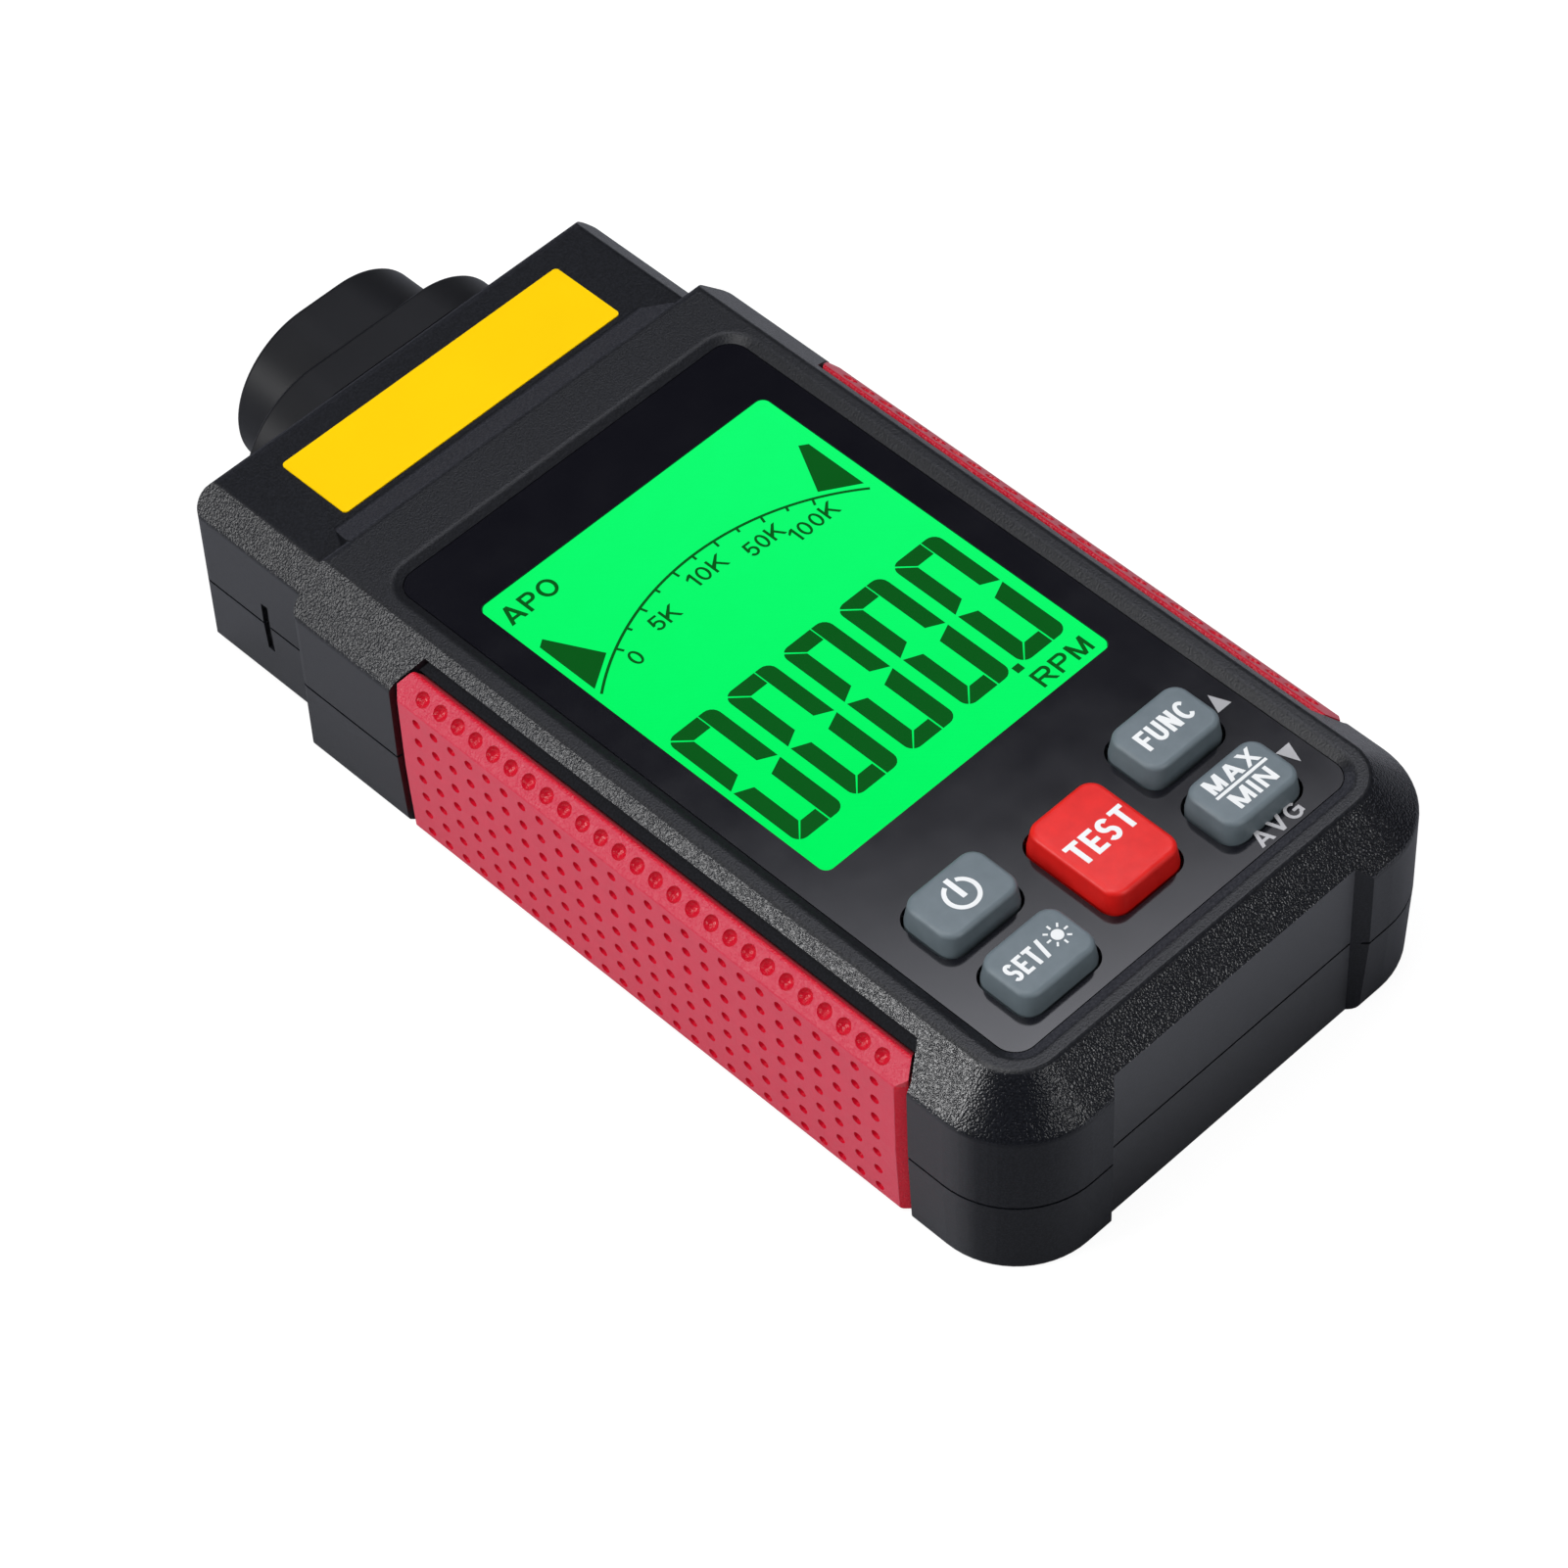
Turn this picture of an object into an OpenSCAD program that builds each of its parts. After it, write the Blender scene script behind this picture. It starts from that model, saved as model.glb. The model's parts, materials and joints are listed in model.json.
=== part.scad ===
// Laser tachometer: a pocket instrument that lies on its back, display up, nose towards +Y.
// The origin is at the middle of its footprint, on the surface that it lies on.

/* [Case] */
// Width over the side walls
case_w = 62.4; // [60:0.2:70]
// Length from the rear bumpers to the head
case_l = 101.5; // [100:0.5:110]
// Height from the floor to the rim
case_h = 25.7; // [25:0.1:30]
// Width of the sloped shoulder round the top
case_chamfer = 4.9; // [4:0.1:5.4]
// Radius of the rear corners, seen from above
corner_r = 10; // [8:0.5:12]
// Height of the line where the two shells part
parting_z = 10.6; // [9.5:0.1:11.5]
// Inward lean of the lower side walls, at the floor
lower_draft = 0.4; // [0.2:0.1:1.4]
// Rounding round the floor
floor_edge = 0.8; // [0.4:0.1:1.2]
// Rounding along the edges of the shoulder
shoulder_edge = 1; // [0.4:0.1:1.5]
// Rounding along the front of the shoulder
front_edge = 1.2; // [0.6:0.1:1.6]
// Radius of the front corners, seen from above
front_corner_r = 1.2; // [1:0.1:2.4]
// Width of the fine groove along the parting line
seam = 0.3; // [0.2:0.05:0.4]
// Depth of the fine groove along the parting line
seam_depth = 0.6; // [0.3:0.05:0.7]
// Thickness of the floor and of the end walls
wall = 2; // [1.6:0.1:2.2]
// Wall left behind a grip pocket
pocket_wall = 1.9; // [1.5:0.1:2.1]
// Depth of the recess between the rear bumpers
end_recess = 1.35; // [0.8:0.05:1.6]
// Width of the recess between the rear bumpers
end_recess_w = 34; // [28:0.5:36]

/* [Head] */
// Width of the head
head_w = 57; // [54:0.5:58]
// Length of the head
head_l = 18.2; // [17:0.2:22]
// Drop from the rim to the top of the head
head_drop = 2.5; // [2:0.1:3]
// Width of the sloped shoulder of the head
head_chamfer = 2.9; // [2.2:0.1:3.4]
// Height of the head above the floor
head_lift = 1; // [1:0.1:1.8]
// Length of the ramp from the case down to the head
ramp_l = 3.2; // [2.6:0.1:3.6]
// Width of the ramp at its foot
ramp_w = 43; // [40:0.5:45]
// Rounding at both ends of the ramp
ramp_r = 1.6; // [0.8:0.1:1.8]
// Radius of the front corners of the head, seen from above
head_corner_r = 1.5; // [1:0.5:3]
// Rounding along the edges of the head
head_edge = 0.8; // [0.4:0.1:1]
// Rounding along the front edge of the head
head_front_edge = 1.4; // [0.8:0.1:1.6]
// Height of the small grooves in the sides of the head
groove_h = 7; // [5:0.5:9]

/* [Nose barrel] */
// Height of the barrel axis
barrel_z = 12; // [11.6:0.1:12]
// Width of the oval collar
collar_w = 36.1; // [33:0.1:38]
// Height of the oval collar
collar_h = 20.8; // [19.5:0.1:20.8]
// Length of the collar
collar_l = 4.8; // [4:0.2:7]
// Width of the oval hood
hood_w = 25.8; // [25:0.1:28]
// Height of the oval hood
hood_h = 20.4; // [19:0.1:20.4]
// Length of the hood in front of the collar
hood_l = 7.2; // [6:0.2:10]
// Wall of the hood
hood_wall = 1.8; // [1.4:0.1:2]
// Depth of the hood recess
hood_depth = 8.7; // [7.5:0.1:9.5]
// Rounding along the front edges of the collar and the hood
barrel_edge = 0.5; // [0.2:0.1:0.8]

/* [Panel and display] */
// Width of the flat of the rim
rim_w = 1.45; // [1:0.05:2]
// Length of the panel
panel_l = 85.9; // [84:0.1:87]
// Corner radius of the panel
panel_r = 2.4; // [1.5:0.1:3]
// Thickness of the panel
panel_t = 0.8; // [0.6:0.1:1.2]
// Drop from the rim to the panel
rim_drop = 0.5; // [0.3:0.1:0.7]
// Width of the bevel inside the rim
rim_bevel = 1.1; // [0.6:0.1:1.4]
// Rounding between the rim and its bevel
rim_edge = 1.5; // [0.5:0.1:2]
// Distance from the rear bumpers to the panel
panel_rear = 7.6; // [7:0.1:8.5]
// Width of the display window
lcd_w = 40; // [38:0.2:41]
// Length of the display window
lcd_l = 48.9; // [46:0.1:49.5]
// Distance from the front of the panel to the window
lcd_front = 8.5; // [8:0.1:9.5]
// Corner radius of the window
lcd_r = 1; // [0.6:0.1:1.6]
// Width of the display cell hidden under the panel on each side
lcd_border = 1; // [0.8:0.1:1.3]
// Thickness of the display cell
lcd_t = 1.8; // [1.6:0.1:2]

/* [Keys] */
// Width of a grey key
key_w = 10.6; // [10:0.1:11.4]
// Length of a grey key
key_l = 7.5; // [7:0.1:7.8]
// Width of the test key
test_w = 10.1; // [9.5:0.1:11.4]
// Length of the test key
test_l = 12.9; // [12:0.1:14]
// Corner radius of the keys
key_r = 1.9; // [1.7:0.1:2.4]
// Rounding along the top edges of the keys
key_edge = 0.6; // [0.4:0.1:1.1]
// Height of the keys above the panel
key_rise = 2.6; // [2:0.1:3]
// Gap round the keys
key_gap = 0.35; // [0.3:0.05:0.45]
// Travel of the keys
key_travel = 0.8; // [0.5:0.1:0.9]
// Distance between the two columns of grey keys
key_pitch_x = 28.4; // [28:0.1:29]
// Distance between the two rows of grey keys
key_pitch_y = 10.05; // [9.9:0.05:10.6]
// Distance from the rear of the panel to the middle of the keys
key_mid = 11; // [10.6:0.1:11.4]

/* [Grips] */
// Length of a grip
grip_l = 71; // [66:0.5:72]
// Distance from the rear bumpers to a grip
grip_rear = 15.1; // [14:0.1:16]
// How far a grip stands proud of the side wall
grip_proud = 0.2; // [0.1:0.05:0.4]
// Thickness of a grip at the side
grip_t = 2.4; // [2.2:0.1:2.6]
// Width of the sloped upper face of a grip, measured across
grip_shoulder = 2.45; // [2.2:0.05:2.8]
// Width of the shallow groove that runs along the top of a grip
grip_groove = 1.5; // [1:0.1:1.8]
// Depth of that groove
grip_groove_depth = 0.7; // [0.4:0.1:0.9]
// Gap between a grip and its pocket, along its top and at its ends
grip_gap = 0.35; // [0.2:0.05:0.6]
// Rounding along the edges of a grip
grip_edge = 0.4; // [0.2:0.05:0.5]
// Height of a grip above the floor
grip_lift = 0.6; // [0.4:0.1:0.8]
// Columns of dimples
dimple_columns = 26; // [24:1:28]
// Rows of small dimples
dimple_rows = 7; // [6:1:7]
// Diameter of the small dimples
dimple_d = 1.15; // [0.9:0.05:1.3]
// Depth of the small dimples
dimple_depth = 0.55; // [0.2:0.05:0.55]
// Diameter of the large dimples
big_dimple_d = 1.75; // [1.4:0.05:1.9]
// Depth of the large dimples
big_dimple_depth = 0.7; // [0.3:0.05:0.7]

/* [Power] */
// Diameter of a cell
cell_d = 10.5; // [10.3:0.1:10.5]
// Length of a cell
cell_l = 44.5; // [43.5:0.1:45]
// Distance from the rear bumpers to the battery bay
bay_rear = 14; // [13:0.5:15]
// Thickness of the battery door
door_t = 1.6; // [1.4:0.1:1.6]
// How far the door lies above the floor
door_inset = 0.25; // [0.2:0.05:0.3]

/* [Optics] */
// Diameter of the laser module
laser_d = 6; // [5.4:0.1:6.4]
// Length of the laser module
laser_l = 10; // [8:0.1:10]
// Sideways place of the laser
laser_x = -6.4; // [-6.8:0.1:-6]
// Diameter of the receiver lens
lens_d = 11; // [10:0.1:11.4]
// Sideways place of the receiver lens
lens_x = 3.6; // [3.4:0.1:4]

/* [Hidden] */
$fn = 48;
arc_steps = 4;
eps = 1;
fit = 0.1;

// Plan of the panel
panel_w = case_w - 2 * (case_chamfer + rim_w + rim_bevel + fit);

// Stations along the part
overall_l = case_l + head_l + collar_l + hood_l;
y_rear = -overall_l / 2;
y_step = y_rear + case_l;
y_head = y_step + head_l;
y_collar = y_head + collar_l;
y_tip = y_collar + hood_l;
y_panel = y_rear + panel_rear + panel_l / 2;
y_lcd = y_rear + panel_rear + panel_l - lcd_front - lcd_l / 2;
y_keys = y_rear + panel_rear + key_mid;

// Levels
half_w = case_w / 2;
shoulder_z = case_h - case_chamfer;
panel_z = case_h - rim_drop;
panel_floor_z = panel_z - panel_t;
roof_t = 2.4;
roof_z = panel_floor_z - roof_t;
head_top_z = case_h - head_drop;
lcd_bottom_z = panel_floor_z - lcd_t;
strip_h = 4.4;
strip_w = 2;
board_t = 1.6;
board_top_z = lcd_bottom_z - strip_h;
board_z = board_top_z - board_t;

// Inside of the shells
pocket_u = half_w + grip_proud - grip_t - fit;
inner_u = pocket_u - pocket_wall;
shoulder_sum = half_w + shoulder_z;
pocket_sum = shoulder_sum - grip_t;
inner_sum = pocket_sum - pocket_wall * sqrt(2);
inner_end = end_recess + wall;
inner_r = corner_r - wall - end_recess;
head_inner_u = head_w / 2 - wall;
head_floor_z = head_lift + wall;
head_roof_z = head_top_z - wall;

// Grips
grip_y0 = y_rear + grip_rear;
grip_y1 = grip_y0 + grip_l;
grip_u = half_w + grip_proud;
grip_crease_z = shoulder_z - fit;
grip_slant = 2.2;
grip_bevel = 1;
dimple_margin = 3.6;
dimple_pitch = (grip_l - 2 * dimple_margin) / (dimple_columns - 1);
dimple_top = 1.5;
dimple_bottom = 1.4;
dimple_row_pitch = (grip_crease_z - dimple_top - grip_lift - dimple_bottom) / (dimple_rows - 1);

// Keys
flange = 1;
flange_t = 1.6;
roof_gap = 0.4;
travel_gap = 0.3;
flange_top_z = roof_z - roof_gap;
key_top_z = panel_z + key_rise;
pad_t = 0.1;
pad_d = 4;
pad_gap = 0.75;
pill_z = board_top_z + pad_t + key_travel + travel_gap;
mat_t = flange_top_z - flange_t - key_travel - travel_gap - board_top_z;
key_places = [
    [-key_pitch_x / 2, y_keys + key_pitch_y / 2, key_w, key_l],
    [-key_pitch_x / 2, y_keys - key_pitch_y / 2, key_w, key_l],
    [0, y_keys, test_w, test_l],
    [key_pitch_x / 2, y_keys + key_pitch_y / 2, key_w, key_l],
    [key_pitch_x / 2, y_keys - key_pitch_y / 2, key_w, key_l]];

// Battery bay
cell_gap = 0.5;
cell_count = 3;
cell_pitch = cell_d + cell_gap;
spring_room = 3.1;
plate_room = 1;
contact_t = 0.4;
contact_w = 6.5;
contact_h = 6;
bay_w = cell_count * cell_pitch + cell_gap;
bay_l = cell_l + spring_room + plate_room;
bay_y0 = y_rear + bay_rear;
bay_y1 = bay_y0 + bay_l;
bay_wall = 2.6;
bay_roof_t = 1.2;
door_top_z = door_inset + door_t;
door_ledge = 1.2;
door_gap = 0.3;
door_y0 = bay_y0 - door_ledge;
door_y1 = bay_y1 + door_ledge;
bead_r = door_t / 2;
hinge_y = door_y1 - bead_r;
hinge_z = door_inset + bead_r;
ledge_z = door_top_z + door_gap;
cell_z = door_top_z + door_gap + cell_d / 2;
bay_roof_z = cell_z + cell_d / 2 + door_gap;
bay_top_z = bay_roof_z + bay_roof_t;
nub_l = 0.8;
nub_d = 3.8;
tongue_w = 6;
tongue_x = 9;
tongue_t = 0.8;
tongue_reach = 1.3;
latch_w = 10;
latch_t = 0.9;
latch_h = 3.6;

// Screws
case_boss_d = 5.4;
board_boss_d = 4.6;
screw_d = 2;
screw_hole_d = 2.2;
screw_head_d = 4;
screw_head_t = 1.5;
counterbore_d = 4.6;
counterbore = 3;
screw_l = 14;
board_screw_l = 4.4;
boss_gap = 0.5;
rear_boss_back = 5.5;
head_boss_back = 8.4;
rear_screws = [for (s = [-1, 1])
    [s * (inner_u - case_boss_d / 2 - boss_gap), y_rear + inner_end + rear_boss_back]];
head_screws = [for (s = [-1, 1])
    [s * (head_inner_u - case_boss_d / 2 - boss_gap), y_step + head_boss_back]];

// Main board and its screws
board_side = 1.5;
board_w = 2 * (inner_u - board_side);
board_hole_in = 2.9;
board_boss_gap = 1.2;
board_boss_y = lcd_l / 2 + lcd_border + board_boss_gap + board_boss_d / 2;
board_screw_places = [for (s = [-1, 1], t = [-1, 1])
    [s * (board_w / 2 - board_hole_in), y_lcd + t * board_boss_y]];

// Optics
neck_w = 26;
neck_h = 14;
flange_h = 16;
nose_flange_t = 1.5;
y_nose_floor = y_tip - hood_depth;
y_flange = y_head - wall - fit - nose_flange_t;
lens_t = 3.2;
lens_lip = 2;
laser_recess = 0.6;
laser_lens_d = 3.4;
laser_lens_t = 1.2;
post_d = 3.2;
post_gap = 0.6;
post_l = 4.3;
post_x = laser_d / 2 - laser_x + post_gap + post_d / 2;
pin_d = 1.6;
flange_edge = 1.8;
flange_w = 2 * (post_x + post_d / 2 + flange_edge);
sensor_board_t = 1.2;
sensor_board_h = 14;
sensor_edge = 1.9;
sensor_board_w = 2 * (post_x + sensor_edge);
y_sensor = y_flange - post_l;

// Yellow plate on the head
label_w = 38.9;
label_l = 9.85;
label_t = 0.15;
label_r = 0.5;
label_back = 4.2;
label_y = y_step + label_back + label_l / 2;

// Colours
black = [0.1, 0.1, 0.11];
dark = [0.16, 0.16, 0.18];
red = [0.79, 0.2, 0.3];
key_red = [0.86, 0.12, 0.12];
key_grey = [0.42, 0.47, 0.49];
board_green = [0.05, 0.3, 0.15];
metal = [0.75, 0.75, 0.77];
brass = [0.72, 0.58, 0.28];

// Points of an arc that rounds the corner b between a and c
function round_corner(a, b, c, r) =
    let (
        u = (a - b) / norm(a - b),
        v = (c - b) / norm(c - b),
        half = acos(u * v) / 2,
        centre = b + (u + v) / norm(u + v) * r / sin(half),
        start = b + u * r / tan(half) - centre,
        turn = (u[0] * v[1] > u[1] * v[0] ? -1 : 1) * (180 - 2 * half))
    [for (i = [0:arc_steps])
        let (t = turn * i / arc_steps)
            centre + [start[0] * cos(t) - start[1] * sin(t), start[0] * sin(t) + start[1] * cos(t)]];

// A path with its inner corners rounded
function soften(path, r) = concat(
    [path[0]],
    [for (i = [1:len(path) - 2]) each round_corner(path[i - 1], path[i], path[i + 1], r)],
    [path[len(path) - 1]]);

// A rectangle with round corners, centred
module rounded_rect(w, l, r) {
    square([w - 2 * r, l], center = true);
    square([w, l - 2 * r], center = true);
    for (x = [-1, 1], y = [-1, 1])
        translate([x * (w / 2 - r), y * (l / 2 - r)])
            circle(r);
}

// A flat plate with round corners, from z0 to z1
module plate(w, l, r, z0, z1) {
    translate([0, 0, z0])
        linear_extrude(z1 - z0)
            rounded_rect(w, l, r);
}

// An oval outline with straight top and bottom
module oval(w, h) {
    square([w - h, h], center = true);
    for (x = [-1, 1])
        translate([x * (w - h) / 2, 0])
            circle(d = h);
}

// A profile of [x, z] points drawn along Y
module along(points, y0, y1) {
    translate([0, y1, 0])
        rotate([90, 0, 0])
            linear_extrude(y1 - y0)
                polygon(points);
}

// A profile of [y, z] points drawn across X, centred
module across(points, w) {
    rotate([90, 0, 90])
        translate([0, 0, -w / 2])
            linear_extrude(w)
                polygon(points);
}

// An oval bar along the barrel axis
module oval_bar(w, h, y0, y1) {
    translate([0, y1, barrel_z])
        rotate([90, 0, 0])
            linear_extrude(y1 - y0)
                oval(w, h);
}

// An oval bar along the barrel axis with its front edge rounded
module soft_oval_bar(w, h, y0, y1) {
    r = h / 2;
    half = concat([[0, 0]], soften([[r, 0], [r, y1 - y0], [0, y1 - y0]], barrel_edge));
    translate([0, y0, barrel_z])
        rotate([-90, 0, 0]) {
            across(concat(half, [for (i = [len(half) - 2:-1:1]) [-half[i][0], half[i][1]]]), w - h);
            for (s = [-1, 1])
                translate([s * (w - h) / 2, 0, 0])
                    rotate_extrude()
                        polygon(half);
        }
}

// A round bar parallel to Y
module rod(d, x, z, y0, y1) {
    translate([x, y1, z])
        rotate([90, 0, 0])
            cylinder(d = d, h = y1 - y0);
}

// Closed outline of a side given as [inset, z] points, for a width of 2 * half
function both_sides(side, half) = concat(
    [for (p = side) [half - p[0], p[1]]],
    [for (i = [len(side) - 1:-1:0]) [side[i][0] - half, side[i][1]]]);

// A block with round corners in plan, its side given as [inset, z] points from the bottom up
module rounded_block(w, l, r, side) {
    last = len(side) - 1;
    along(both_sides(side, w / 2), r - l / 2, l / 2 - r);
    across(both_sides(side, l / 2), w - 2 * r);
    for (turn = [0:3])
        translate([(turn == 0 || turn == 3 ? 1 : -1) * (w / 2 - r), (turn < 2 ? 1 : -1) * (l / 2 - r), 0])
            rotate([0, 0, 90 * turn])
                rotate_extrude(angle = 90)
                    polygon(concat(
                        [[0, side[0][1]]],
                        [for (p = side) [r - p[0], p[1]]],
                        [[0, side[last][1]]]));
}

// The case from its rear end to the head, its side given as [inset, z] points
module case_block(side) {
    full_l = case_l + 2 * corner_r;
    intersection() {
        translate([0, y_rear + full_l / 2, 0])
            rounded_block(case_w, full_l, corner_r, side);
        translate([-case_w, y_rear - eps, -eps])
            cube([2 * case_w, case_l + eps, case_h + 2 * eps]);
    }
}

// Recess between the rear bumpers, with sloped flanks
module end_recess_cut() {
    translate([0, 0, -eps])
        linear_extrude(case_h + 2 * eps)
            polygon([
                [-end_recess_w / 2 - end_recess - eps, y_rear - eps],
                [-end_recess_w / 2, y_rear + end_recess],
                [end_recess_w / 2, y_rear + end_recess],
                [end_recess_w / 2 + end_recess + eps, y_rear - eps]]);
    seam_groove(y_rear + end_recess, end_recess_w);
}

// Fine groove along the parting line of a wall that faces along Y
module seam_groove(y, w) {
    across([
        [y - seam_depth, parting_z - seam / 2],
        [y + seam_depth, parting_z - seam / 2],
        [y + seam_depth, parting_z + seam / 2],
        [y - seam_depth, parting_z + seam / 2]], w);
}

// Plan of the head, with round front corners
module head_plan() {
    back_l = 4;
    translate([0, y_step - back_l])
        square_with_round_front(head_w, head_l + back_l, head_corner_r);
}

// A rectangle on the X axis, its two far corners rounded
module square_with_round_front(w, l, r) {
    translate([-w / 2, 0])
        square([w, l - r]);
    translate([-w / 2 + r, 0])
        square([w - 2 * r, l]);
    for (x = [-1, 1])
        translate([x * (w / 2 - r), l - r])
            circle(r);
}

// Plan of the space inside the case
module inside_plan() {
    inside_l = case_l - inner_end - wall;
    translate([0, y_rear + inner_end + inside_l / 2])
        rounded_rect(2 * inner_u, inside_l, inner_r);
}

// Plan of a grip, or of its pocket when grown by the gap at its ends
module grip_plan(grow) {
    inner = inner_u;
    y0 = grip_y0 - grow;
    y1 = grip_y1 + grow;
    edge_u = grip_u - grip_bevel;
    far_u = grip_u + eps;
    polygon([
        [inner, y0 + grip_slant],
        [edge_u, y0],
        [far_u, y0 + (grow > 0 ? -grow : grip_bevel + eps)],
        [far_u, y1 + (grow > 0 ? grow : -grip_bevel - eps)],
        [edge_u, y1],
        [inner, y1 - grip_slant]]);
}

// Grip pocket on the right-hand side
module grip_pocket() {
    edge_u = grip_u - grip_shoulder - grip_gap / sqrt(2);
    edge_z = shoulder_sum - edge_u;
    depth = (shoulder_sum - pocket_sum) / 2;
    groove_u = edge_u - grip_groove / sqrt(2);
    groove_z = shoulder_sum - groove_u;
    groove = grip_groove_depth / sqrt(2);
    y0 = grip_y0 - grip_l;
    y1 = grip_y1 + grip_l;
    intersection() {
        union() {
            along([
                [pocket_u, -eps],
                [half_w + eps, -eps],
                [half_w + eps, case_h],
                [edge_u + case_h - edge_z, case_h],
                [edge_u - depth, edge_z - depth],
                [pocket_u, pocket_sum - pocket_u]], y0, y1);
            along([
                [groove_u - groove, groove_z - groove],
                [edge_u - groove + eps, edge_z - groove - eps],
                [edge_u + groove + eps, edge_z + groove - eps],
                [groove_u + groove, groove_z + groove]], y0, y1);
        }
        translate([0, 0, -2 * eps])
            linear_extrude(case_h + 4 * eps)
                grip_plan(grip_gap);
    }
}

// Both grip pockets
module grip_pockets() {
    for (s = [0, 1])
        mirror([s, 0, 0])
            grip_pocket();
}

// Small upright grooves in the sides of the head, across the parting line
module head_grooves() {
    groove_w = 1;
    groove_depth = 0.6;
    groove_back = 8;
    groove_drop = 0.5;
    for (s = [-1, 1])
        translate([s * head_w / 2, y_step + groove_back, parting_z - groove_drop])
            cube([2 * groove_depth, groove_w, groove_h], center = true);
}

// Opening for the neck of the barrel
module neck_opening() {
    oval_bar(neck_w + 2 * fit, neck_h + 2 * fit, y_head - wall - eps, y_head + eps);
}

// One hole for each key
module key_holes(z0, z1) {
    for (k = key_places)
        translate([k[0], k[1], 0])
            plate(k[2] + 2 * key_gap, k[3] + 2 * key_gap, key_r + key_gap, z0, z1);
}

module front_shell() {
    head_half = head_w / 2;
    color(black)
        difference() {
            union() {
                difference() {
                    case_block(concat(
                        [[seam_depth, parting_z], [seam_depth, parting_z + seam / 2]],
                        soften([
                            [0, parting_z + seam / 2],
                            [0, shoulder_z],
                            [case_chamfer, case_h],
                            [case_chamfer + shoulder_edge, case_h]], shoulder_edge)));
                    front_edge_cut();
                    front_corner_cuts();
                    end_recess_cut();
                }
                ramp();
                intersection() {
                    along(both_sides(concat(
                        [[seam_depth, parting_z], [seam_depth, parting_z + seam / 2]],
                        soften([
                            [0, parting_z + seam / 2],
                            [0, head_top_z - head_chamfer],
                            [head_chamfer, head_top_z],
                            [head_chamfer + head_edge, head_top_z]], head_edge)), head_half),
                        y_step - eps, y_head);
                    across(concat(
                        [[y_step - eps, parting_z]],
                        soften([
                            [y_head, parting_z],
                            [y_head, head_top_z],
                            [y_step - eps, head_top_z]], head_front_edge)), head_w);
                    linear_extrude(case_h)
                        head_plan();
                }
            }
            seam_groove(y_head, head_w);
            front_cavity();
            panel_seat();
            grip_pockets();
            head_grooves();
            neck_opening();
        }
    color(black)
        front_bosses();
}

// What is taken off the case to round the front edge of its shoulder
module front_edge_cut() {
    edge = round_corner([y_rear, case_h], [y_step, case_h], [y_step, 0], front_edge);
    across(concat(edge, [
        [y_step + eps, case_h - front_edge],
        [y_step + eps, case_h + eps],
        [y_step - front_edge, case_h + eps]]), 2 * case_w);
}

// What is taken off the case to round its front corners, seen from above
module front_corner_cuts() {
    r = front_corner_r;
    corner = round_corner([half_w, y_rear], [half_w, y_step], [0, y_step], r);
    for (s = [0, 1])
        mirror([s, 0, 0])
            translate([0, 0, -eps])
                linear_extrude(case_h + 2 * eps)
                    polygon(concat(corner, [
                        [half_w - r, y_step + eps],
                        [half_w + eps, y_step + eps],
                        [half_w + eps, y_step - r]]));
}

// Ramp from the rim down to the head, with its top and its foot rounded and its ends flared
module ramp() {
    flare = 1.4;
    back_l = 2.4;
    back = [y_step - back_l, case_h];
    crest = [y_step - front_edge / 2, case_h];
    foot = [y_step + ramp_l, head_top_z];
    top = round_corner(back, crest, foot, ramp_r);
    bottom = round_corner(crest, foot, [y_head, head_top_z], ramp_r);
    end_y = bottom[arc_steps][0];
    intersection() {
        across(concat(
            [[back[0], head_top_z - wall / 2], back],
            top,
            bottom,
            [[end_y, head_top_z - wall / 2]]), head_w);
        linear_extrude(case_h + eps)
            polygon([
                [-ramp_w / 2 - flare, y_step - back_l],
                [-ramp_w / 2 - flare, y_step],
                [-ramp_w / 2, end_y],
                [ramp_w / 2, end_y],
                [ramp_w / 2 + flare, y_step],
                [ramp_w / 2 + flare, y_step - back_l]]);
    }
}

// Space inside the front shell
module front_cavity() {
    intersection() {
        along(both_sides([
            [0, parting_z - eps],
            [0, inner_sum - inner_u],
            [inner_u + roof_z - inner_sum, roof_z]], inner_u), y_rear, y_step);
        linear_extrude(case_h)
            inside_plan();
    }
    translate([-head_inner_u, y_step - wall - eps, parting_z - eps])
        cube([2 * head_inner_u, head_l + eps, head_roof_z - parting_z + eps]);
}

// Seat of the panel, with the bevel of the rim, the display opening and the key holes
module panel_seat() {
    seat_w = panel_w + 2 * fit;
    seat_l = panel_l + 2 * fit;
    cell_seat = lcd_border + fit;
    edge = round_corner([rim_bevel, panel_z], [0, case_h], [-rim_bevel, case_h], rim_edge);
    translate([0, y_panel, 0]) {
        plate(seat_w, seat_l, panel_r + fit, panel_floor_z, case_h);
        rounded_block(seat_w + 2 * rim_bevel, seat_l + 2 * rim_bevel, panel_r + fit + rim_bevel,
            concat([[rim_bevel, panel_z]], edge, [[edge[arc_steps][0], case_h + eps]]));
    }
    translate([0, y_lcd, 0])
        plate(lcd_w + 2 * cell_seat, lcd_l + 2 * cell_seat, lcd_r, roof_z - eps, panel_floor_z + eps);
    key_holes(roof_z - eps, panel_floor_z + eps);
}

// Screw bosses of the front shell
module front_bosses() {
    screw_top = screw_l - parting_z + counterbore + eps;
    for (p = rear_screws)
        boss(p, case_boss_d, parting_z, roof_z, screw_top);
    for (p = head_screws)
        boss(p, case_boss_d, parting_z, head_roof_z, head_lift + screw_top);
    for (p = board_screw_places)
        boss(p, board_boss_d, board_top_z, roof_z, board_screw_l - board_t + eps / 2);
}

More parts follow.
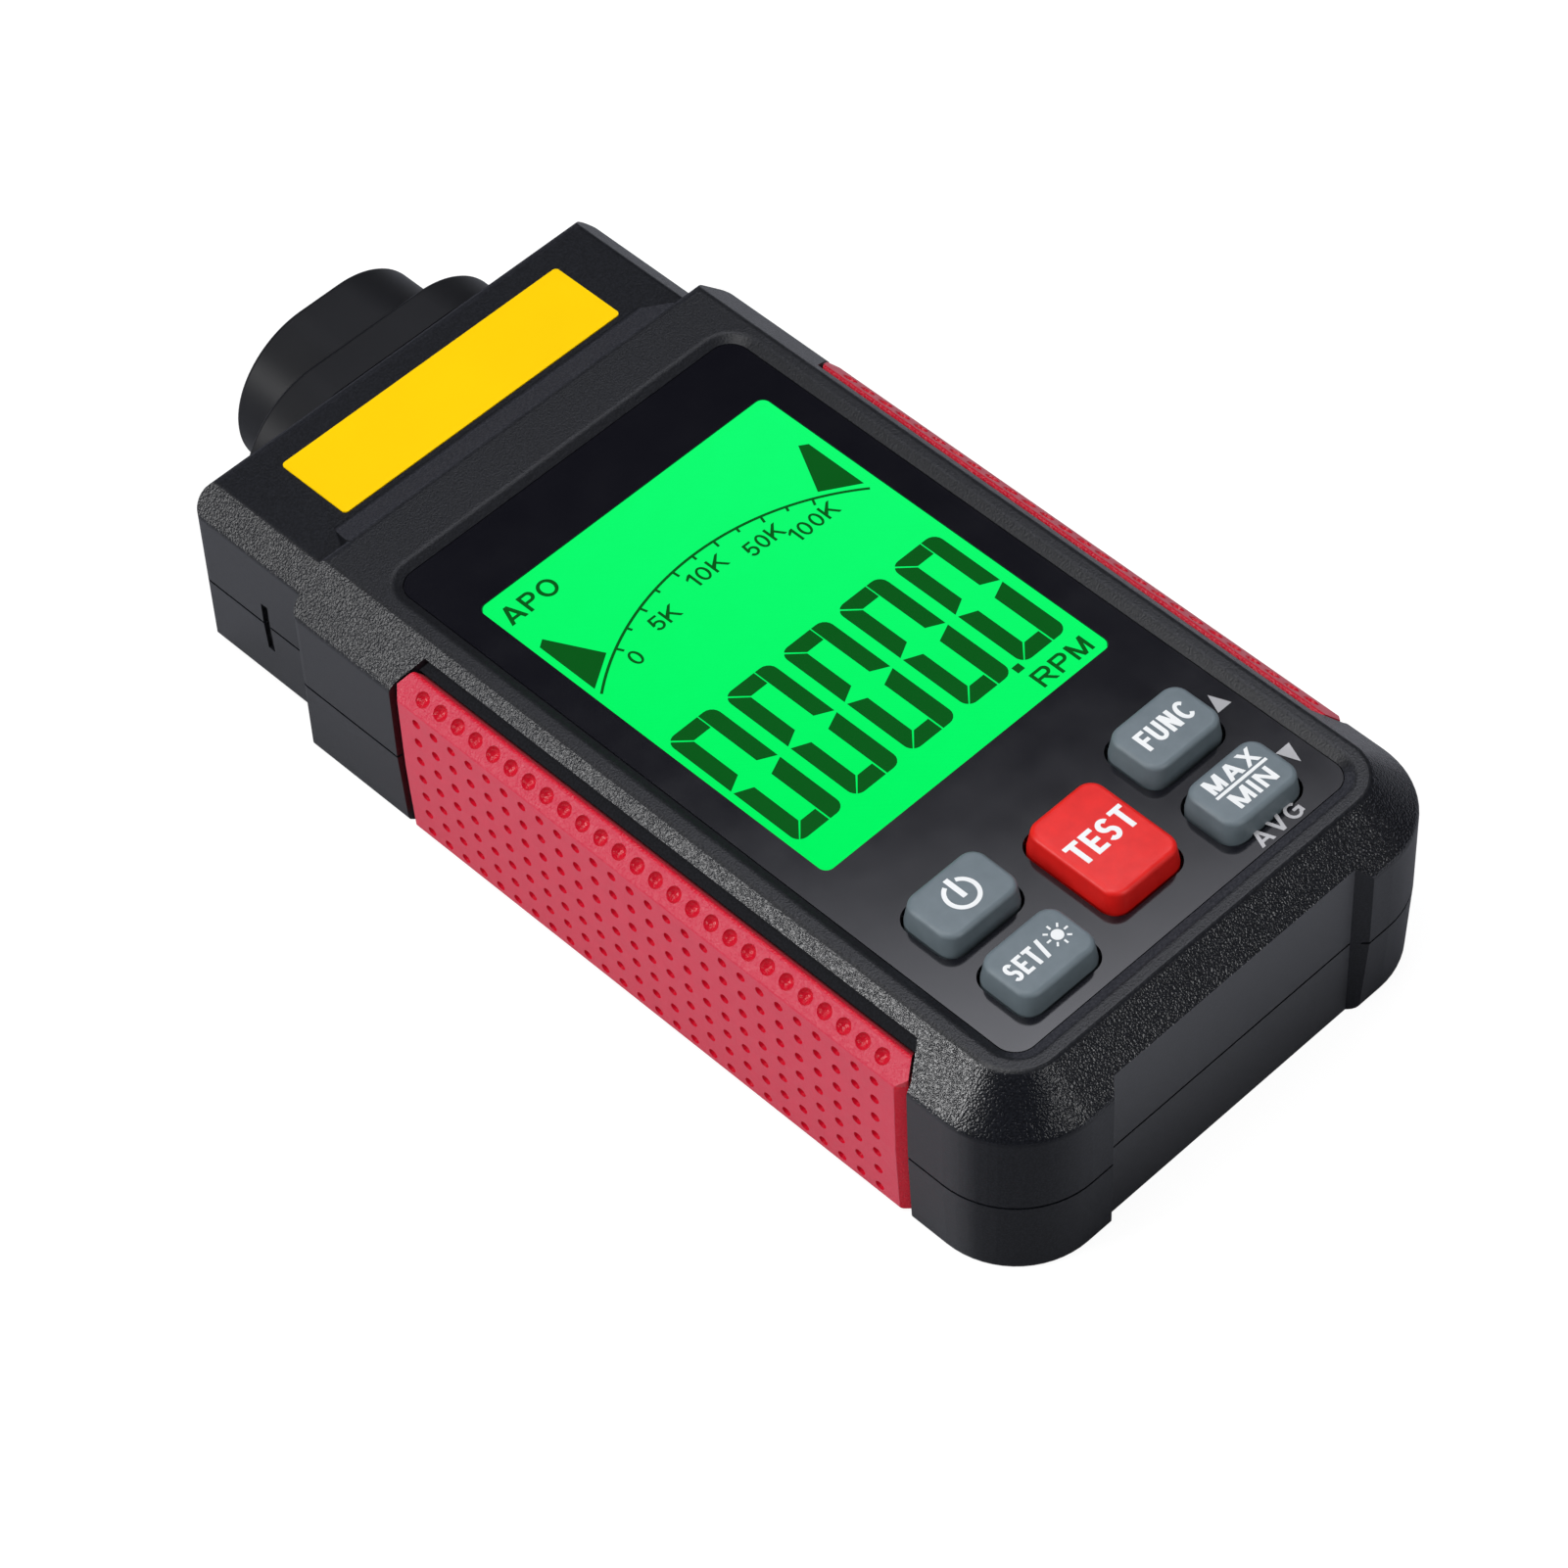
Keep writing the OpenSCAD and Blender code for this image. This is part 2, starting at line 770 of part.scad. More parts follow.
// A boss with a blind hole from below
module boss(place, d, z0, z1, hole) {
    translate([place[0], place[1], z0])
        difference() {
            cylinder(d = d, h = z1 - z0);
            translate([0, 0, -eps])
                cylinder(d = screw_hole_d, h = hole + eps);
        }
}

module rear_shell() {
    side_reach = lower_draft + 2 * floor_edge;
    head_half = head_w / 2;
    color(black)
        difference() {
            union() {
                difference() {
                    case_block(concat(
                        soften([[side_reach, 0], [lower_draft, 0], [0, parting_z - seam / 2]], floor_edge),
                        [[seam_depth, parting_z - seam / 2], [seam_depth, parting_z]]));
                    front_corner_cuts();
                    end_recess_cut();
                    rear_cavity();
                }
                difference() {
                    intersection() {
                        along(both_sides(concat(
                            soften([
                                [side_reach, head_lift],
                                [lower_draft, head_lift],
                                [0, parting_z - seam / 2]], floor_edge),
                            [[seam_depth, parting_z - seam / 2], [seam_depth, parting_z]]), head_half),
                            y_step - wall, y_head);
                        across(concat(
                            soften([
                                [y_step - wall, head_lift],
                                [y_head, head_lift],
                                [y_head, parting_z]], head_edge),
                            [[y_step - wall, parting_z]]), head_w);
                        linear_extrude(parting_z)
                            head_plan();
                    }
                    head_cavity();
                }
                battery_bay();
                for (p = rear_screws)
                    translate([p[0], p[1], wall])
                        cylinder(d = case_boss_d, h = parting_z - wall);
                for (p = head_screws)
                    translate([p[0], p[1], head_floor_z])
                        cylinder(d = case_boss_d, h = parting_z - head_floor_z);
            }
            bay_space();
            seam_groove(y_head, head_w);
            grip_pockets();
            head_grooves();
            neck_opening();
            for (p = rear_screws)
                screw_hole(p, 0);
            for (p = head_screws)
                screw_hole(p, head_lift);
        }
}

// Space inside the case part of the rear shell
module rear_cavity() {
    translate([0, 0, wall])
        linear_extrude(parting_z)
            inside_plan();
    translate([-head_inner_u, y_step - wall - eps, head_floor_z])
        cube([2 * head_inner_u, wall + 2 * eps, parting_z]);
}

// Space inside the head part of the rear shell
module head_cavity() {
    translate([-head_inner_u, y_step - wall - eps, head_floor_z])
        cube([2 * head_inner_u, head_l + eps, parting_z]);
}

// Counterbored screw hole from below
module screw_hole(place, z0) {
    translate([place[0], place[1], z0 - eps]) {
        cylinder(d = counterbore_d, h = counterbore + eps);
        cylinder(d = screw_hole_d, h = parting_z + 2 * eps);
    }
}

// Walls and roof of the battery bay, before it is hollowed
module battery_bay() {
    translate([-bay_w / 2 - bay_wall, bay_y0 - bay_wall, wall / 2])
        cube([bay_w + 2 * bay_wall, bay_l + 2 * bay_wall, bay_top_z - wall / 2]);
}

// Space for the cells, seat of the door, and notches for its tongues and latch
module bay_space() {
    notch = tongue_w + 2 * door_gap;
    notch_h = 4;
    latch_room = 0.8;
    translate([-bay_w / 2, bay_y0, -eps])
        cube([bay_w, bay_l, bay_roof_z + eps]);
    translate([-bay_w / 2 - door_ledge - door_gap, door_y0 - door_gap, -eps])
        cube([bay_w + 2 * (door_ledge + door_gap), door_y1 - door_y0 + 2 * door_gap, ledge_z + eps]);
    for (s = [-1, 1])
        translate([s * tongue_x - notch / 2, bay_y1 - eps, ledge_z - eps])
            cube([notch, door_ledge + door_gap + eps, notch_h + eps]);
    for (s = [-1, 1])
        translate([s * tongue_x - notch / 2, bay_y1 - eps, wall])
            cube([notch, bay_wall + 2 * eps, notch_h + ledge_z - wall]);
    translate([-latch_w / 2 - door_gap, bay_y0 - bay_wall - eps, wall])
        cube([latch_w + 2 * door_gap, bay_wall + 2 * eps, latch_h + door_top_z - wall + door_gap]);
    translate([-latch_w / 2 - door_gap, bay_y0 - door_ledge - latch_room, ledge_z - eps])
        cube([latch_w + 2 * door_gap, door_ledge + latch_room + eps, latch_h]);
}

module nose_barrel() {
    color(dark)
        difference() {
            union() {
                soft_oval_bar(collar_w, collar_h, y_head, y_collar);
                soft_oval_bar(hood_w, hood_h, y_collar - eps, y_tip);
                oval_bar(neck_w, neck_h, y_flange, y_head + eps);
                oval_bar(flange_w, flange_h, y_flange, y_flange + nose_flange_t);
                for (s = [-1, 1]) {
                    rod(post_d, s * post_x, barrel_z, y_sensor, y_flange + eps);
                    rod(pin_d, s * post_x, barrel_z, y_sensor - sensor_board_t, y_sensor + eps);
                }
            }
            oval_bar(hood_w - 2 * hood_wall, hood_h - 2 * hood_wall, y_nose_floor, y_tip + eps);
            rod(laser_d + 2 * fit, laser_x, barrel_z, y_flange - eps, y_nose_floor + eps);
            rod(lens_d + 2 * fit, lens_x, barrel_z, y_nose_floor - lens_t, y_nose_floor + eps);
            rod(lens_d - lens_lip, lens_x, barrel_z, y_flange - eps, y_nose_floor);
        }
}

module front_panel() {
    color(black)
        difference() {
            translate([0, y_panel, 0])
                plate(panel_w, panel_l, panel_r, panel_floor_z, panel_z);
            translate([0, y_lcd, 0])
                plate(lcd_w + fit, lcd_l + fit, lcd_r, panel_floor_z - eps, panel_z + eps);
            key_holes(panel_floor_z - eps, panel_z + eps);
        }
}

module display_window() {
    color([0.7, 0.9, 0.8, 0.4])
        translate([0, y_lcd, 0])
            plate(lcd_w, lcd_l, lcd_r, panel_floor_z, panel_z);
}

module lcd_glass() {
    color([0, 0.9, 0.4])
        translate([0, y_lcd, 0])
            plate(lcd_w + 2 * lcd_border, lcd_l + 2 * lcd_border, lcd_r, lcd_bottom_z, panel_floor_z);
}

module backlight() {
    strip_gap = 0.5;
    light_l = lcd_l + 2 * (lcd_border - strip_w - strip_gap);
    color([0.92, 0.94, 0.92])
        translate([0, y_lcd, 0])
            plate(lcd_w, light_l, lcd_r, board_top_z, lcd_bottom_z);
}

module connector_strips() {
    strip_y = lcd_l / 2 + lcd_border - strip_w / 2;
    color([0.85, 0.75, 0.75])
        for (s = [-1, 1])
            translate([-lcd_w / 2, y_lcd + s * strip_y - strip_w / 2, board_top_z])
                cube([lcd_w, strip_w, strip_h]);
}

module main_board() {
    board_y0 = y_rear + inner_end + board_side;
    board_y1 = y_step - wall - board_side;
    notch = case_boss_d + 2 * boss_gap;
    color(board_green)
        difference() {
            translate([0, (board_y0 + board_y1) / 2, 0])
                plate(board_w, board_y1 - board_y0, inner_r - board_side, board_z, board_top_z);
            for (p = rear_screws)
                translate([p[0] + sign(p[0]) * notch / 2, p[1] - notch / 2, board_z + board_t / 2])
                    cube([2 * notch, 2 * notch, 2 * board_t], center = true);
            for (p = board_screw_places)
                translate([p[0], p[1], board_z - eps])
                    cylinder(d = screw_hole_d, h = board_t + 2 * eps);
        }
}

module controller_chip() {
    chip_w = 10;
    chip_h = 1.4;
    color([0.08, 0.08, 0.08])
        translate([-chip_w / 2, y_lcd - chip_w / 2, board_z - chip_h])
            cube([chip_w, chip_w, chip_h]);
}

module key_contacts() {
    color(brass)
        for (k = key_places)
            translate([k[0], k[1], board_top_z])
                cylinder(d = pad_d, h = pad_t);
}

module keypad_mat() {
    mat_w = key_pitch_x + key_w + 2 * flange;
    mat_l = key_pitch_y + key_l + 2 * flange;
    color([0.3, 0.32, 0.33])
        difference() {
            translate([0, y_keys, 0])
                plate(mat_w, mat_l, key_r, board_top_z, board_top_z + mat_t);
            for (k = key_places)
                translate([k[0], k[1], board_top_z - eps])
                    cylinder(d = pad_d + 2 * pad_gap, h = mat_t + 2 * eps);
        }
}

// One key: cap with rounded top edges, flange under the shell, and contact pill
module key_cap(k) {
    lean = 0.2;
    rounding = [for (a = [0:22.5:90])
        [lean + key_edge * (1 - cos(a)), key_top_z - key_edge + key_edge * sin(a)]];
    translate([k[0], k[1], 0]) {
        rounded_block(k[2], k[3], key_r, concat([[0, flange_top_z - flange_t], [0, panel_z]], rounding));
        plate(k[2] + 2 * flange, k[3] + 2 * flange, key_r, flange_top_z - flange_t, flange_top_z);
        translate([0, 0, pill_z])
            cylinder(d = pad_d, h = flange_top_z - pill_z);
    }
}

module key_power() {
    color(key_grey)
        key_cap(key_places[0]);
}

module key_set() {
    color(key_grey)
        key_cap(key_places[1]);
}

module key_test() {
    color(key_red)
        key_cap(key_places[2]);
}

module key_func() {
    color(key_grey)
        key_cap(key_places[3]);
}

module key_max_min() {
    color(key_grey)
        key_cap(key_places[4]);
}

// Ball that leaves a dimple of a given width and depth at a point of a sloping surface
module dimple(d, depth, u, y, z, slope) {
    r = (d * d / 4 + depth * depth) / (2 * depth);
    translate([u + (r - depth) * cos(slope), y, z + (r - depth) * sin(slope)])
        sphere(r);
}

// What is taken off a lower end of a grip, so that the bevel there follows the lean of the side
module lower_bevel(y, turn, lean) {
    reach = 2 * parting_z;
    translate([grip_u, y, parting_z])
        rotate([0, asin(lean / sqrt(2 + lean * lean)), turn])
            translate([0, -reach / 2, -reach])
                cube(reach);
}

// Grip on the right-hand side
module grip() {
    lean = lower_draft / parting_z;
    inner_sum_grip = pocket_sum + fit * sqrt(2);
    inner_grip_u = pocket_u + fit;
    top_u = grip_u - grip_shoulder;
    top_z = grip_crease_z + grip_shoulder;
    depth = (top_u + top_z - inner_sum_grip) / 2;
    difference() {
        intersection() {
            along(concat(
                soften([
                    [inner_grip_u, grip_lift],
                    [grip_u - lean * (parting_z - grip_lift), grip_lift],
                    [grip_u, parting_z]], grip_edge),
                soften([
                    [grip_u, parting_z + grip_edge],
                    [grip_u, grip_crease_z],
                    [top_u, top_z],
                    [top_u - depth, top_z - depth]], grip_edge),
                [[inner_grip_u, inner_sum_grip - inner_grip_u]]), grip_y0, grip_y1);
            linear_extrude(case_h)
                grip_plan(0);
        }
        lower_bevel(grip_y0 + grip_bevel, -45, lean);
        lower_bevel(grip_y1 - grip_bevel, 45, lean);
        for (i = [0:dimple_columns - 1]) {
            y = grip_y0 + dimple_margin + i * dimple_pitch;
            dimple(big_dimple_d, big_dimple_depth, grip_u - grip_shoulder / 2, y,
                grip_crease_z + grip_shoulder / 2, 45);
            for (j = [0:dimple_rows - 1]) {
                z = grip_crease_z - dimple_top - j * dimple_row_pitch;
                dimple(dimple_d, dimple_depth, grip_u - max(0, lean * (parting_z - z)), y, z, 0);
            }
        }
    }
}

module grip_left() {
    color(red)
        mirror([1, 0, 0])
            grip();
}

module grip_right() {
    color(red)
        grip();
}

module label_plate() {
    color([0.95, 0.8, 0.05])
        translate([0, label_y, 0])
            plate(label_w, label_l, label_r, head_top_z, head_top_z + label_t);
}

module laser_module() {
    y_front = y_nose_floor - laser_recess;
    color(brass)
        difference() {
            rod(laser_d, laser_x, barrel_z, y_front - laser_l, y_front);
            rod(laser_lens_d, laser_x, barrel_z, y_front - laser_lens_t, y_front + eps);
        }
}

module laser_lens() {
    y_front = y_nose_floor - laser_recess;
    color([0.9, 0.5, 0.5])
        rod(laser_lens_d, laser_x, barrel_z, y_front - laser_lens_t, y_front - laser_lens_t / 4);
}

module receiver_lens() {
    bulge = 0.9;
    lens_r = (lens_d * lens_d / 4 + bulge * bulge) / (2 * bulge);
    color([0.8, 0.85, 0.95])
        intersection() {
            rod(lens_d, lens_x, barrel_z, y_nose_floor - lens_t, y_nose_floor + eps);
            translate([lens_x, y_nose_floor - lens_r, barrel_z])
                sphere(lens_r);
        }
}

module photodiode() {
    can_d = 5;
    can_l = 2.4;
    color([0.15, 0.12, 0.2]) {
        rod(can_d, lens_x, barrel_z, y_sensor, y_sensor + can_l);
        translate([lens_x, y_sensor + can_l, barrel_z])
            intersection() {
                sphere(d = can_d);
                translate([-can_d, 0, -can_d])
                    cube(2 * can_d);
            }
    }
}

module sensor_board() {
    color(board_green)
        difference() {
            translate([-sensor_board_w / 2, y_sensor - sensor_board_t, barrel_z - sensor_board_h / 2])
                cube([sensor_board_w, sensor_board_t, sensor_board_h]);
            for (s = [-1, 1])
                rod(pin_d + 2 * fit, s * post_x, barrel_z,
                    y_sensor - sensor_board_t - eps, y_sensor + eps);
        }
}

module battery_door() {
    door_w = bay_w + 2 * door_ledge;
    rib_count = 5;
    rib_w = 14;
    rib_l = 0.8;
    rib_depth = 0.5;
    rib_back = 4;
    tongue_z = wall + door_gap;
    color(black)
        difference() {
            union() {
                translate([-door_w / 2, door_y0, door_inset])
                    cube([door_w, hinge_y - door_y0, door_t]);
                translate([-door_w / 2, hinge_y, hinge_z])
                    rotate([0, 90, 0])
                        cylinder(r = bead_r, h = door_w);
                for (s = [-1, 1])
                    translate([s * tongue_x - tongue_w / 2, bay_y1, hinge_z])
                        cube([tongue_w, door_ledge, tongue_z + tongue_t - hinge_z]);
                for (s = [-1, 1])
                    translate([s * tongue_x - tongue_w / 2, bay_y1, tongue_z])
                        cube([tongue_w, door_ledge + door_gap + tongue_reach, tongue_t]);
                translate([-latch_w / 2, door_y0, door_inset])
                    cube([latch_w, latch_t, door_t + latch_h - door_gap]);
            }
            for (i = [0:rib_count - 1])
                translate([-rib_w / 2, door_y0 + rib_back + i * 2 * rib_l, -eps])
                    cube([rib_w, rib_l, door_inset + rib_depth + eps]);
        }
}

// One cell, its cap towards +Y, standing at the rear end of the bay
module cell() {
    y0 = bay_y0 + spring_room;
    y1 = y0 + cell_l - nub_l;
    color([0.2, 0.35, 0.25])
        rod(cell_d, 0, cell_z, y0, y1);
    color(metal)
        rod(nub_d, 0, cell_z, y1 - eps, y1 + nub_l);
}

// Turns a piece of the bay end for end
module end_for_end() {
    translate([0, bay_y0 + bay_y1, 0])
        mirror([0, 1, 0])
            children();
}

module cell_left() {
    translate([-cell_pitch, 0, 0])
        cell();
}

module cell_middle() {
    end_for_end()
        cell();
}

module cell_right() {
    translate([cell_pitch, 0, 0])
        cell();
}

// Bowed leaf that presses on the flat end of a cell
module leaf_contact() {
    bow = spring_room - contact_t;
    foot_z = cell_z - contact_h / 2;
    color(metal)
        translate([0, bay_y0, 0])
            across([
                [0, foot_z],
                [contact_t, foot_z],
                [contact_t, foot_z + contact_h - 2 * contact_t],
                [bow, cell_z],
                [bow, cell_z - contact_h / 4],
                [spring_room, cell_z - contact_h / 4],
                [spring_room, cell_z],
                [contact_t, foot_z + contact_h],
                [0, foot_z + contact_h]], contact_w);
}

// Flat plate that meets the cap of a cell
module plate_contact() {
    color(metal)
        translate([0, bay_y1 - plate_room, cell_z]) {
            translate([-contact_w / 2, plate_room - contact_t, -contact_h / 2])
                cube([contact_w, contact_t, contact_h]);
            rotate([-90, 0, 0])
                cylinder(d = nub_d, h = plate_room);
        }
}

module spring_contacts() {
    for (s = [-1, 1])
        translate([s * cell_pitch, 0, 0])
            leaf_contact();
    end_for_end()
        leaf_contact();
}

module cap_contacts() {
    for (s = [-1, 1])
        translate([s * cell_pitch, 0, 0])
            plate_contact();
    end_for_end()
        plate_contact();
}

// A pan-head screw driven upwards, its head seated at z
module screw(place, z, length) {
    slot_w = 0.5;
    slot_l = 2.4;
    translate([place[0], place[1], z]) {
        cylinder(d = screw_d, h = length);
        translate([0, 0, -screw_head_t])
            difference() {
                cylinder(d = screw_head_d, h = screw_head_t);
                translate([0, 0, screw_head_t / 4])
                    for (a = [0, 90])
                        rotate([0, 0, a])
                            cube([slot_l, slot_w, screw_head_t], center = true);
            }
    }
}

module case_screws() {
    color(metal) {
        for (p = rear_screws)
            screw(p, counterbore, screw_l);
        for (p = head_screws)
            screw(p, head_lift + counterbore, screw_l);
    }
}

module board_screws() {
    color(metal)
        for (p = board_screw_places)
            screw(p, board_z, board_screw_l);
}

front_shell();
rear_shell();
nose_barrel();
front_panel();
display_window();
lcd_glass();
backlight();
connector_strips();
main_board();
controller_chip();
key_contacts();
keypad_mat();
key_power();
key_set();
key_test();
key_func();
key_max_min();
grip_left();
grip_right();
label_plate();
laser_module();
laser_lens();
receiver_lens();
photodiode();
sensor_board();
battery_door();
cell_left();
cell_middle();
cell_right();
spring_contacts();
cap_contacts();
case_screws();
board_screws();
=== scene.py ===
import json
import math

import bmesh
import bpy
from mathutils import Matrix, Vector


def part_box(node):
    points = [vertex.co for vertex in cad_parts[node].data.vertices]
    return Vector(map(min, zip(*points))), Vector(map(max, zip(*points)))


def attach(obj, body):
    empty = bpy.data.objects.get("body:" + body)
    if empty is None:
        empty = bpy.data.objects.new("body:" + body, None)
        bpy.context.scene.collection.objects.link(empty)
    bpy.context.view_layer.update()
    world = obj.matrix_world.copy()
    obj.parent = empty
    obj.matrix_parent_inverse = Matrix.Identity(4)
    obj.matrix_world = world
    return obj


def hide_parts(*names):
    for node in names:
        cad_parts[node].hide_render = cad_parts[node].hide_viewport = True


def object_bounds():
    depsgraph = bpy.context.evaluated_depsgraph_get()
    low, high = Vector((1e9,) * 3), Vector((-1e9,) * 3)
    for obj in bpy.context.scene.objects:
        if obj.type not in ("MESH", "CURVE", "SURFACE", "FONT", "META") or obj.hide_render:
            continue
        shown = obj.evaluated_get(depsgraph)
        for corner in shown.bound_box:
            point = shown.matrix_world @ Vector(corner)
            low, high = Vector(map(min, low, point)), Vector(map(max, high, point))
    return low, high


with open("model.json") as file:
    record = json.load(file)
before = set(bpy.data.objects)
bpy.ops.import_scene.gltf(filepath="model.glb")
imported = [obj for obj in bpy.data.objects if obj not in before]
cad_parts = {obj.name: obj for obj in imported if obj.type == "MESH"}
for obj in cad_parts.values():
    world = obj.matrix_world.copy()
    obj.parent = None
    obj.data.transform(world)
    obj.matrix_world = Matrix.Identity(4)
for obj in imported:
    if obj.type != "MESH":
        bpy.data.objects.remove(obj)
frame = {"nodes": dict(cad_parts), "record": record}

MM = 0.001
solid_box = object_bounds()
nodes = frame["nodes"]


# Levels and places that the pieces share, in millimetres
def box_of(node):
    """Lowest and highest corner of a node."""
    return [[v / MM for v in corner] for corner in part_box(node)]


def middle_of(node):
    return [(a + b) / 2 for a, b in zip(*box_of(node))]


display_z = box_of("lcd_glass")[1][2]
panel_z = box_of("front_panel")[1][2]
key_top_z = box_of("key_test")[1][2]
display_y = middle_of("display_window")[1]
grip_y = middle_of("grip_left")[1]
grip_l = box_of("grip_left")[1][1] - box_of("grip_left")[0][1]

# Faces of the shells and the grips: the sum of x and z on a shoulder, and x on a wall
shoulder_reach = 52.0
grip_reach = 52.1
grip_side = 31.4
parting_z = 10.6
grip_lean = 0.4 / parting_z
recess_depth = 0.9

# Print: its thickness, the step between strokes that touch, and its level on the keys
ink = 0.03
stroke_step = 0.004
print_drop = 0.03
print_z = key_top_z - ink - print_drop


# Materials
class Finish:
    """A procedural material: colour, roughness and grain are driven by object coordinates."""

    def __init__(self, name):
        self.material = bpy.data.materials.new(name)
        self.material.use_nodes = True
        self.tree = self.material.node_tree
        self.shader = self.tree.nodes["Principled BSDF"]
        self.place = self.node("ShaderNodeTexCoord").outputs["Object"]

    def node(self, kind, **values):
        made = self.tree.nodes.new(kind)
        for key, value in values.items():
            setattr(made, key, value)
        return made

    def join(self, source, target):
        self.tree.links.new(source, target)

    def drive(self, socket, source):
        """Lets a source set one of the shader's values."""
        self.join(source, self.shader.inputs[socket])

    def set(self, **values):
        """Sets the shader's own values, which also stand in where a link is dropped."""
        for key, value in values.items():
            self.shader.inputs[key.replace("_", " ")].default_value = value
        return self

    def noise(self, size, detail=2.0, rough=0.5):
        """Noise with features of a size in millimetres."""
        made = self.node("ShaderNodeTexNoise")
        self.join(self.place, made.inputs["Vector"])
        made.inputs["Scale"].default_value = 1 / (size * MM)
        made.inputs["Detail"].default_value = detail
        made.inputs["Roughness"].default_value = rough
        return made.outputs["Fac"]

    def spread(self, source, low, high, start=0.3, end=0.7, **values):
        """A value from low to high, while the source goes from start to end."""
        made = self.node("ShaderNodeMapRange", **values)
        self.join(source, made.inputs["Value"])
        limits = {"From Min": start, "From Max": end, "To Min": low, "To Max": high}
        for key, value in limits.items():
            made.inputs[key].default_value = value
        return made.outputs["Result"]

    def fade(self, mask, without, within):
        """A value outside a mask and another one inside it."""
        return self.spread(mask, without, within, 0, 1)

    def calc(self, kind, a, b=None):
        """Arithmetic on one or two values; a number stands for itself."""
        made = self.node("ShaderNodeMath", operation=kind)
        for socket, value in zip(made.inputs, (a, b)):
            if isinstance(value, (int, float)):
                socket.default_value = value
            elif value is not None:
                self.join(value, socket)
        return made.outputs[0]

    def times(self, first, *others):
        for other in others:
            first = self.calc("MULTIPLY", first, other)
        return first

    def axes(self, source):
        made = self.node("ShaderNodeSeparateXYZ")
        self.join(source, made.inputs[0])
        return [made.outputs[axis] for axis in "XYZ"]

    def facing(self, kind="True Normal"):
        """Direction of the surface, without the grain."""
        return self.axes(self.node("ShaderNodeNewGeometry").outputs[kind])

    def mix(self, source, dark, light):
        """A colour between two, each an RGB triple or another mix."""
        made = self.node("ShaderNodeMix", data_type="RGBA")
        self.join(source, made.inputs["Factor"])
        for key, value in (("A", dark), ("B", light)):
            if isinstance(value, tuple):
                made.inputs[key].default_value = (*value, 1)
            else:
                self.join(value, made.inputs[key])
        return made.outputs["Result"]

    def colour(self, source, dark, light, socket="Base Color"):
        self.drive(socket, self.mix(source, dark, light))
        return self

    def bump(self, height, depth, strength=None):
        """Relief of a depth in millimetres."""
        made = self.node("ShaderNodeBump")
        made.inputs["Distance"].default_value = depth * MM
        self.join(height, made.inputs["Height"])
        if strength is not None:
            self.join(strength, made.inputs["Strength"])
        self.drive("Normal", made.outputs["Normal"])
        return self

    def layer(self, kind, *sources):
        """Adds or mixes shaders; a mix starts with its factor."""
        made = self.node(kind)
        for source, socket in zip(sources, made.inputs):
            self.join(source, socket)
        return made.outputs[0]

    def surface(self, shader):
        """Puts another shader in the place of the usual one."""
        self.tree.nodes.remove(self.shader)
        self.join(shader, self.tree.nodes["Material Output"].inputs["Surface"])
        return self.material


def moulded(name, dark, light, roughness, grain, depth, specular=0.5):
    """Moulded plastic or rubber with a fine grain of a size and a depth in millimetres."""
    made = Finish(name)
    mottle = 9 * grain
    wear = 4 * grain
    made.colour(made.spread(made.noise(mottle, 3), 0, 1), dark, light)
    made.drive("Roughness", made.spread(made.noise(wear, 2), *roughness))
    made.bump(made.noise(grain, 1), depth)
    return made.set(Specular_IOR_Level=specular)


